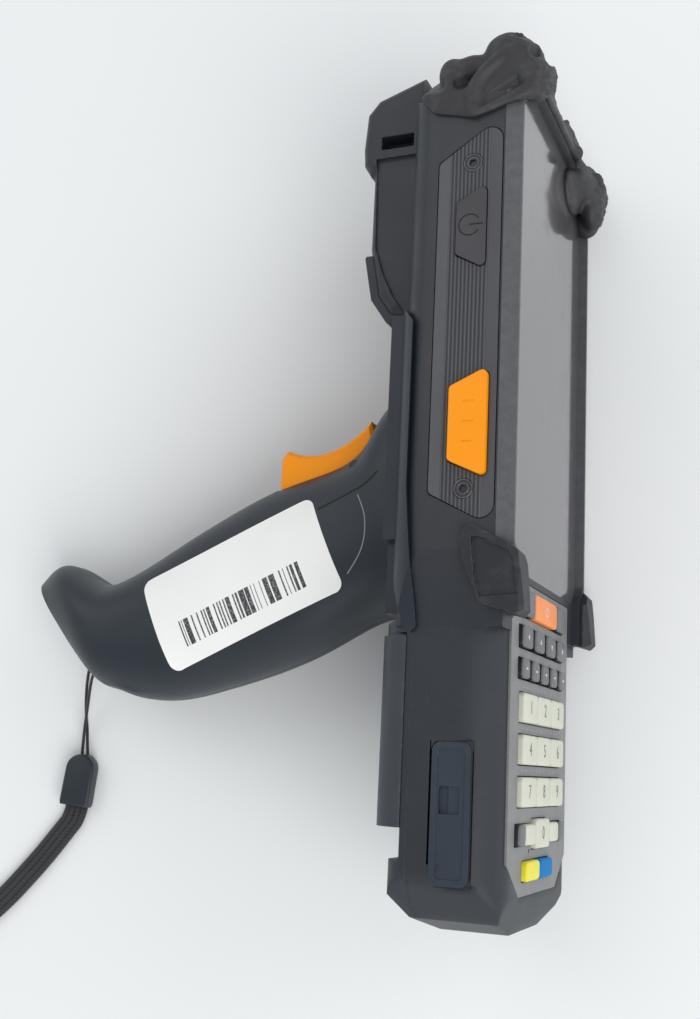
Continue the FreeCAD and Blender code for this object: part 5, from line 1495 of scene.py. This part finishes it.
@dataclass
class CornerBoot:
    """The worn rubber boot round the scanning end, with its folds, lumps and torn edges."""

    voxel: float = 0.5
    lumps: tuple[tuple[Place, Place], ...] = (
        ((-4.6, 95.4, 34.4), (3.8, 4.4, 4.4)),
        ((0.6, 96.2, 34.6), (6.4, 3.4, 4.0)),
        ((8.8, 99.2, 33.6), (6.2, 5.4, 5.2)),
        ((13.0, 96.6, 33.2), (4.6, 5.4, 5.2)),
        ((15.4, 91.6, 33.6), (4.2, 5.8, 5.0)),
    )
    far_lumps: tuple[tuple[Place, Place], ...] = (
        ((14.4, 92.0, -25.5), (3.4, 5.2, 7.0)),
        ((16.2, 87.6, -30.8), (3.3, 6.6, 5.6)),
        ((12.0, 89.0, -22.0), (2.4, 6.4, 8.0)),
        ((13.6, 85.0, -35.0), (3.8, 4.4, 3.8)),
        ((15.0, 97.4, -15.6), (1.7, 2.4, 2.0)),
    )
    folds: tuple[tuple[float, tuple[Place, ...]], ...] = (
        (1.45, ((13.2, 99.6, 36.4), (8.0, 96.4, 38.4), (2.4, 91.6, 38.9), (0.9, 87.0, 39.0), (1.9, 81.4, 38.9))),
        (0.9, ((1.9, 81.6, 39.0), (7.5, 84.4, 39.2), (13.4, 86.6, 39.0), (16.6, 88.6, 37.8))),
        (1.1, ((-4.4, 98.0, 36.6), (-5.0, 92.0, 38.2), (-4.6, 85.0, 38.6))),
    )
    ridge: tuple[Place, ...] = ((14.2, 97.6, -19.0), (18.2, 92.4, -27.0), (18.2, 86.6, -33.0), (14.2, 84.4, -36.4))
    bar_radius: float = 1.15
    bar: tuple[Place, ...] = (
        (14.2, 85.4, 37.6), (14.3, 90.4, 29.8), (14.2, 96.8, 18.8), (13.9, 97.0, 12.0), (13.9, 97.0, -12.0),
        (14.2, 96.8, -18.8), (14.3, 90.4, -29.8), (14.2, 85.4, -37.6))
    hollows: tuple[tuple[Place, Place], ...] = (
        ((12.4, 102.6, 37.6), (2.2, 1.3, 2.2)),
        ((16.2, 97.6, 37.0), (1.3, 2.2, 2.4)),
    )
    recess: tuple[tuple[float, float], ...] = ((11.6, 95.4), (3.0, 88.0), (3.4, 83.2), (13.8, 87.4), (14.6, 90.6))
    slot: tuple[tuple[float, float], ...] = ((4.6, 84.6), (4.9, 87.0), (12.6, 91.4), (13.0, 88.2))
    recess_floor: float = 38.3
    slot_floor: float = 37.3
    filler: tuple[tuple[float, float], ...] = ((14.5, 98.5), (1.4, 89.5), (1.4, 82.5), (14.6, 87.2), (16.2, 91.5))
    filler_low: float = 33.0
    screen_room: tuple[Place, Place] = ((12.0, 40.0, 57.0), (20.2, 100.0, 0.0))
    outside: float = 43.0
    front_tears: tuple[float, float] = (16.4, 1.8)
    end_tears: tuple[float, float] = (99.0, 3.0)
    end_tears_from: float = 11
    wear: tuple[float, float] = (5.0, 0.35)
    tears: tuple[float, float] = (1.3, 1.1)
    table: float = 0.0003

    def ball(self, place: Place, radii: Place) -> bpy.types.Object:
        """Add an ellipsoid."""
        bpy.ops.mesh.primitive_ico_sphere_add(subdivisions=3, radius=1.0, location=place)
        return Bench.scaled(Bench.started("lump"), radii)

    def fold(self, radius: float, points: Sequence[Place]) -> bpy.types.Object:
        """Add a round bead along points.

        Args:
            radius: The bead's radius.
            points: The points to follow.

        Returns:
            The bead.
        """
        curve = splined("fold", points)
        curve.bevel_depth = radius
        curve.bevel_resolution = 3
        curve.use_fill_caps = True
        Bench.hold(Bench.linked("fold", curve))
        bpy.ops.object.convert(target="MESH")
        return Bench.started("fold")

    def settled(self, item: bpy.types.Object, rounds: int) -> None:
        """Make one skin of all that a piece is joined from, and soften it."""
        Bench.apply(item, "REMESH", mode="VOXEL", voxel_size=self.voxel)
        Bench.apply(item, "SMOOTH", factor=0.5, iterations=rounds)

    def torn(self, item: bpy.types.Object) -> None:
        """Give a piece the vertex group "torn", on its edge over the screen and on its far end.

        Args:
            item: The boot, in its own frame.
        """
        torn = item.vertex_groups.new(name="torn")
        for vertex in item.data.vertices:
            x, y, _ = vertex.co
            weight = min(1.0, max(0.0, (x - self.front_tears[0]) / self.front_tears[1]))
            if x > self.end_tears_from:
                weight = max(weight, min(1.0, max(0.0, (y - self.end_tears[0]) / self.end_tears[1])))
            if weight > 0:
                torn.add([vertex.index], weight, "REPLACE")

    def roughen(self, item: bpy.types.Object, name: str, size: float, depth: float, group: str = "") -> None:
        """Move the surface in and out with a soft noise.

        Args:
            item: The piece.
            name: The noise's name.
            size: The size of its lumps.
            depth: How far it moves the surface.
            group: The vertex group that it is kept to.
        """
        noise = bpy.data.textures.new(name, "CLOUDS")
        noise.noise_scale = size
        noise.noise_depth = 2
        Bench.apply(item, "DISPLACE", texture=noise, texture_coords="LOCAL", strength=depth, mid_level=0.5,
                    vertex_group=group)

    def build(self, shelf: Shelf) -> None:
        """Make the boot from the solid one, and wear it.

        Args:
            shelf: The finishes.
        """
        boot = Bench.settle(Bench.copy_of("top_boot", "corner_boot"), DEVICE.inverted())
        Bench.carve(boot, Bench.box("room", *self.screen_room))
        pieces = [boot, self.fold(self.bar_radius, self.bar), self.fold(1.1, self.ridge)]
        for sign in (1, -1):
            pieces += [self.ball((x, y, z * sign), size) for (x, y, z), size in self.lumps]
            pieces += [self.fold(radius, [(x, y, z * sign) for x, y, z in line]) for radius, line in self.folds]
            pieces.append(slab("filler", self.filler, sign * self.filler_low, sign * self.recess_floor))
        pieces += [self.ball(place, size) for place, size in self.far_lumps]
        boot = Bench.join(pieces)
        self.settled(boot, 12)
        for sign in (1, -1):
            for (x, y, z), size in self.hollows:
                Bench.carve(boot, self.ball((x, y, z * sign), size))
            for outline, floor in ((self.recess, self.recess_floor), (self.slot, self.slot_floor)):
                Bench.carve(boot, slab("opening", outline, sign * floor, sign * self.outside))
        self.settled(boot, 3)
        self.torn(boot)
        self.roughen(boot, "wear", *self.wear)
        self.roughen(boot, "tears", *self.tears, "torn")
        Bench.apply(boot, "DECIMATE", ratio=0.5)
        Bench.settle(boot, DEVICE)
        for vertex in boot.data.vertices:
            vertex.co.z = max(vertex.co.z, self.table)
        Bench.smooth(boot, 60.0)
        boot.name = "corner_boot"
        shelf.dress(boot, "rubber")
        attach(boot, "terminal")
        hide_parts("top_boot")
        log.info("boot: %d faces", len(boot.data.polygons))


@dataclass
class GripDetails:
    """What is stuck or cut on the grip's near side, and the nub under its heel."""

    label_size: tuple[float, float] = (53.4, 26.1)
    label_middle: tuple[float, float] = (-65.35, -27.1)
    label_turn: float = math.radians(24.3)
    label_corner: float = 2.6
    label_thickness: float = 0.10
    above_grip: float = 22.0
    seam: tuple[tuple[float, float], ...] = ((-43.9, -7.8), (-36.0, -4.2), (-30.2, -2.0), (-27.4, 1.2))
    side_line: tuple[tuple[float, float], ...] = (
        (-32.6, -4.6), (-30.6, -8.4), (-30.0, -12.3), (-30.3, -16.6), (-31.9, -20.6), (-34.8, -24.5))
    nub_place: Place = (-107.4, -51.6, 3.0)
    nub_size: Place = (3.4, 1.9, 5.0)

    def build(self, shelf: Shelf) -> None:
        """Make the label, the two thin lines and the nub.

        Args:
            shelf: The finishes.
        """
        self.label(shelf)
        # Painted shade: the seam is drawn as a thin near-black strip.
        self.line(shelf, "grip_seam_shade", self.seam, 0.5, "groove")
        self.line(shelf, "grip_side_line", self.side_line, 0.3, "grey_print")
        self.nub(shelf)
        log.info("grip: label and lines made")

    def pressed(self, item: bpy.types.Object, lift: float, thickness: float) -> None:
        """Press a flat piece straight down onto the grip's left shell, thicken it and set it in place.

        Args:
            item: The piece, in the terminal's frame.
            lift: How far it stands off.
            thickness: Its thickness.
        """
        down = Bench.settle(Bench.copy_of("grip_left_shell", "press_target"), DEVICE.inverted())
        Bench.apply(item, "SHRINKWRAP", target=down, wrap_method="PROJECT", use_project_z=True,
                    use_negative_direction=True, use_positive_direction=False, wrap_mode="ABOVE_SURFACE",
                    offset=lift)
        bpy.data.objects.remove(down)
        Bench.apply(item, "SMOOTH", factor=0.5, iterations=3, use_x=False, use_y=False)
        Bench.apply(item, "SOLIDIFY", thickness=thickness, offset=1.0)
        Bench.settle(item, DEVICE)

    def label(self, shelf: Shelf) -> None:
        """Make the sticker, with rounded corners, and press it onto the shell.

        Args:
            shelf: The finishes.
        """
        width, height = self.label_size
        bpy.ops.mesh.primitive_plane_add(size=1.0)
        item = Bench.scaled(Bench.started("plain_label"), (width, height, 1.0))
        bpy.ops.object.mode_set(mode="EDIT")
        bpy.ops.mesh.select_all(action="SELECT")
        bpy.ops.mesh.bevel(offset=self.label_corner, segments=6, affect="VERTICES")
        for count, length, normal in ((30, width, (1, 0, 0)), (16, height, (0, 1, 0))):
            for number in range(1, count):
                bpy.ops.mesh.select_all(action="SELECT")
                cut = Vector(normal) * (length * (number / count - 0.5))
                bpy.ops.mesh.bisect(plane_co=cut, plane_no=normal)
        bpy.ops.object.mode_set(mode="OBJECT")
        layer = item.data.uv_layers.new(name="label")
        for loop in item.data.loops:
            place = item.data.vertices[loop.vertex_index].co
            layer.data[loop.index].uv = (place.x / width + 0.5, place.y / height + 0.5)
        middle = Matrix.Translation((*self.label_middle, self.above_grip))
        Bench.settle(item, middle @ Matrix.Rotation(self.label_turn, 4, "Z"))
        self.pressed(item, 0.05, self.label_thickness)
        Bench.smooth(item, 40.0)
        shelf.dress(item, "plain_label")
        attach(item, "terminal")

    def line(self, shelf: Shelf, name: str, points: Outline, width: float, finish: str) -> None:
        """Make a thin strip along points and press it onto the shell.

        Args:
            shelf: The finishes.
            name: The piece's name.
            points: The points to follow.
            width: The strip's width.
            finish: The finish's name.
        """
        route = traced(name, [(x, y, self.above_grip) for x, y in points])
        build = bmesh.new()
        rows = []
        for number, here in enumerate(route):
            ahead = (route[min(number + 1, len(route) - 1)] - route[max(number - 1, 0)]).normalized()
            aside = Vector((-ahead.y, ahead.x, 0.0)) * (width / 2)
            rows.append((build.verts.new(here - aside), build.verts.new(here + aside)))
        for one, two in zip(rows, rows[1:]):
            build.faces.new((one[0], two[0], two[1], one[1]))
        item = Bench.finished(name, build)
        self.pressed(item, 0.02, 0.04)
        shelf.dress(item, finish)
        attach(item, "terminal")

    def nub(self, shelf: Shelf) -> None:
        """Make the small nub under the heel.

        Args:
            shelf: The finishes.
        """
        bpy.ops.mesh.primitive_uv_sphere_add(segments=24, ring_count=16, radius=1.0, location=self.nub_place)
        item = Bench.scaled(Bench.started("heel_nub"), self.nub_size)
        Bench.settle(item, DEVICE)
        Bench.smooth(item, 60.0)
        shelf.dress(item, "grip")
        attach(item, "terminal")


@dataclass
class Lanyard:
    """The thin cord round the grip's bar and the flat wrist strap, both starting and ending at the cap."""

    cord_route: tuple[Place, ...] = (
        (-0.0674, -0.0707, 0.0025), (-0.0675, -0.0673, 0.0023), (-0.0673, -0.0639, 0.0027),
        (-0.0660, -0.0588, 0.0054), (-0.0642, -0.0532, 0.0094), (-0.0626, -0.0488, 0.0126),
        (-0.0606, -0.0470, 0.0142), (-0.0579, -0.0447, 0.0148), (-0.0564, -0.0434, 0.0151),
        (-0.0588, -0.0403, 0.0145), (-0.0603, -0.0416, 0.0142), (-0.0625, -0.0438, 0.0137),
        (-0.0640, -0.0474, 0.0120), (-0.0659, -0.0527, 0.0076), (-0.0670, -0.0588, 0.0036),
        (-0.0667, -0.0638, 0.0019), (-0.0664, -0.0672, 0.0020), (-0.0657, -0.0708, 0.0025),
    )
    strap_route: tuple[Place, ...] = (
        (-0.0664, -0.0854, 0.00105), (-0.0669, -0.0890, 0.00105), (-0.0694, -0.0924, 0.00105),
        (-0.0751, -0.1004, 0.00105), (-0.0832, -0.1101, 0.00105), (-0.0873, -0.1144, 0.00105),
        (-0.0943, -0.1210, 0.00105), (-0.1003, -0.1340, 0.00105), (-0.1108, -0.1467, 0.00105),
        (-0.1258, -0.1507, 0.00105), (-0.1398, -0.1447, 0.00105), (-0.1458, -0.1318, 0.00105),
        (-0.1413, -0.1182, 0.00105), (-0.1288, -0.1113, 0.00105), (-0.1143, -0.1118, 0.00105),
        (-0.1040, -0.1160, 0.00105), (-0.0965, -0.1178, 0.00105), (-0.0897, -0.1122, 0.00105),
        (-0.0856, -0.1079, 0.00105), (-0.0777, -0.0984, 0.00105), (-0.0722, -0.0908, 0.00105),
        (-0.0704, -0.0885, 0.00105), (-0.0697, -0.0850, 0.00105),
    )
    strap_section: tuple[tuple[float, float], ...] = (
        (-1.0, -0.3), (-0.86, -0.85), (-0.5, -1.0), (0.0, -0.9), (0.5, -1.0), (0.86, -0.85), (1.0, -0.3),
        (1.0, 0.3), (0.86, 0.85), (0.5, 1.0), (0.18, 0.85), (0.0, 0.35), (-0.18, 0.85), (-0.5, 1.0),
        (-0.86, 0.85), (-1.0, 0.3))
    cord_diameter: float = 0.0009
    cord_length: float = 0.073
    strap_width: float = 0.0032
    strap_thickness: float = 0.0018
    strap_length: float = 0.2192
    cap_top: Place = (-66.578, -70.75, 0.0)
    cap_width: float = 8.6
    cap_length: float = 14.5
    cap_thickness: float = 5.0
    cap_right: Place = (0.9950, -0.0995, 0.0)
    cap_down: Place = (-0.0995, -0.9950, 0.0)

    def swept(self, name: str, points: Sequence[Vector], section: Outline,
              level: bool) -> bpy.types.Object:
        """Sweep a closed section along points, with a UV map: U round the section and V along, in millimetres.

        Args:
            name: The piece's name.
            points: The line to follow.
            section: Points round the section, as (across, up).
            level: True for a flat strap, which keeps its width level.

        Returns:
            The mesh object.
        """
        build = bmesh.new()
        layer = build.loops.layers.uv.new("along")
        rings, lengths = [], [0.0]
        up = Vector((0, 0, 1))
        for number, here in enumerate(points):
            before, after = points[max(number - 1, 0)], points[min(number + 1, len(points) - 1)]
            ahead = (after - before).normalized()
            if number:
                lengths.append(lengths[-1] + (here - before).length)
            across = ahead.cross(Vector((0, 0, 1)) if level else up).normalized()
            up = across.cross(ahead).normalized()
            rings.append([build.verts.new(here + across * a + up * b) for a, b in section])
        count = len(section)
        for row in range(len(rings) - 1):
            for spot in range(count):
                face = build.faces.new((rings[row][spot], rings[row][(spot + 1) % count],
                                        rings[row + 1][(spot + 1) % count], rings[row + 1][spot]))
                face.smooth = True
                places = ((spot, row), (spot + 1, row), (spot + 1, row + 1), (spot, row + 1))
                for loop, (side, step) in zip(face.loops, places):
                    loop[layer].uv = (side / count, lengths[step] * 1000)
        build.faces.new(rings[0][::-1])
        build.faces.new(rings[-1])
        bmesh.ops.recalc_face_normals(build, faces=build.faces)
        return Bench.finished(name, build)

    def cap(self, shelf: Shelf) -> bpy.types.Object:
        """Make the moulded cap that joins the cord to the strap, round at its top.

        Args:
            shelf: The finishes.

        Returns:
            The cap.
        """
        arc = self.cap_width / 2 * 0.97
        shape = [(arc * math.cos(math.pi * step / 16), arc - arc * math.sin(math.pi * step / 16)) for step in range(17)]
        wide = self.cap_width / 2
        shape += [(-wide, self.cap_length * 0.93), (-wide * 0.94, self.cap_length), (wide * 0.94, self.cap_length),
                  (wide, self.cap_length * 0.93)]
        item = slab("cord_cap_shell", shape, 0.05, self.cap_thickness)
        Bench.bevel_edges(item, 0.75, 4, lambda a, b: abs(a.z - b.z) < LEVEL)
        down = Vector(self.cap_down).normalized()
        turn = Matrix((Vector(self.cap_right) * -1, down, Vector((0, 0, 1)))).transposed().to_4x4()
        Bench.settle(item, Matrix.Scale(MILLIMETRE, 4) @ Matrix.Translation(self.cap_top) @ turn)
        Bench.smooth(item, 50.0)
        shelf.dress(item, "grip")
        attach(item, "terminal")
        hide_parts("cord_cap")
        return item

    def build(self, shelf: Shelf) -> None:
        """Args:
            shelf: The finishes.
        """
        cap = self.cap(shelf)
        line = traced("cord_line", self.cord_route)
        radius = self.cord_diameter / 2
        ring = [(radius * math.cos(math.pi * step / 5), radius * math.sin(math.pi * step / 5)) for step in range(10)]
        cord = shelf.dress(self.swept("lanyard_cord_yarn", line, ring, False), "cord_yarn")
        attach(cord, "terminal")
        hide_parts("lanyard_cord")
        line = traced("strap_line", self.strap_route)
        wide, thick = self.strap_width / 2, self.strap_thickness / 2
        section = [(wide * x, thick * y) for x, y in self.strap_section]
        strap = shelf.dress(self.swept("wrist_strap_webbing", line, section, True), "strap_yarn")
        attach(strap, "terminal")
        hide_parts("wrist_strap")
        log.info("lanyard: cord and strap laid")


@dataclass
class Studio:
    """The camera, the floor and the light."""

    eye: Place = (0.067659, -0.069712, 0.348778)
    right: Place = (0.985551, 0.049104, -0.162107)
    up: Place = (-0.014849, 0.978419, 0.206097)
    back: Place = (0.168729, -0.200712, 0.965011)
    focal_pixels: float = 1240.388
    long_side: int = 1019
    sensor: float = 36.0
    floor_size: float = 6.0
    floor_colour: Colour = (0.86, 0.875, 0.885)

    def camera(self) -> None:
        """Set up the camera where the photograph was taken from."""
        data = bpy.data.cameras.new("camera")
        data.sensor_width = self.sensor
        data.lens = self.focal_pixels * self.sensor / self.long_side
        data.clip_start, data.clip_end = 0.02, 20.0
        item = Bench.linked("camera", data)
        turn = Matrix((self.right, self.up, self.back)).transposed().to_4x4()
        item.matrix_world = Matrix.Translation(self.eye) @ turn
        bpy.context.scene.camera = item

    def floor(self) -> None:
        """Lay the pale floor."""
        bpy.ops.mesh.primitive_plane_add(size=self.floor_size, location=(0, 0, -0.0001))
        item = Bench.started("floor")
        tree = Tree("pale_floor")
        cloud = tree.noise(160.0, 2.0)
        dim = tuple(value * 0.97 for value in self.floor_colour)
        colour = tree.mix(cloud.clipped(), dim, self.floor_colour)
        tree.surface(None, None, Base_Color=colour, Roughness=0.75)
        item.data.materials.append(tree.material)

    def lamp(self, name: str, place: Place, size: float, power: float, colour: Colour = (1, 1, 1)) -> None:
        """Hang a square soft lamp that faces the terminal.

        Args:
            name: The lamp's name.
            place: Where it hangs, in metres.
            size: The length of its side.
            power: Its power in watts.
            colour: The colour of its light.
        """
        data = bpy.data.lights.new(name, "AREA")
        data.size, data.energy, data.color = size, power, colour
        item = Bench.linked(name, data)
        item.location = place
        item.rotation_euler = (-Vector(place)).to_track_quat("-Z", "Y").to_euler()

    def light(self) -> None:
        """Light the scene with a pale world and three soft lamps."""
        world = bpy.data.worlds.new("soft_world")
        world.use_nodes = True
        background = world.node_tree.nodes["Background"]
        nodes, links = world.node_tree.nodes, world.node_tree.links
        sight = nodes.new("ShaderNodeTexCoord")
        height = nodes.new("ShaderNodeSeparateXYZ")
        ramp = nodes.new("ShaderNodeValToRGB")
        links.new(sight.outputs["Generated"], height.inputs[0])
        links.new(height.outputs[2], ramp.inputs[0])
        links.new(ramp.outputs[0], background.inputs[0])
        for element, place, level in zip(ramp.color_ramp.elements, (0.15, 0.95), (0.85, 0.38)):
            element.position = place
            element.color = (level * 0.97, level * 0.99, level, 1.0)
        background.inputs[1].default_value = 1.0
        bpy.context.scene.world = world
        self.lamp("window", (0.75, -0.95, 1.3), 1.5, 18.5, (1.0, 1.0, 0.99))
        self.lamp("fill", (-0.9, 0.9, 1.6), 1.4, 6.5, (0.97, 0.98, 1.0))
        self.lamp("side", (1.35, 0.7, 0.7), 1.2, 4.8)
        bpy.context.scene.view_settings.view_transform = "Standard"

    def build(self) -> None:
        """Set up everything round the object."""
        self.camera()
        self.floor()
        self.light()
        log.info("studio: camera, floor and light set")


def main() -> None:
    """Build every sub-assembly in order."""
    shelf = Shelf()
    Studio().build()
    Lanyard().build(shelf)
    Casing().dress(shelf)
    keypad = Keypad()
    keypad.caps(shelf)
    keypad.build(shelf)
    FlankOpenings().build(shelf)
    FlankDetails().build(shelf)
    CornerBoot().build(shelf)
    GripDetails().build(shelf)


if __name__ == "__main__":
    main()
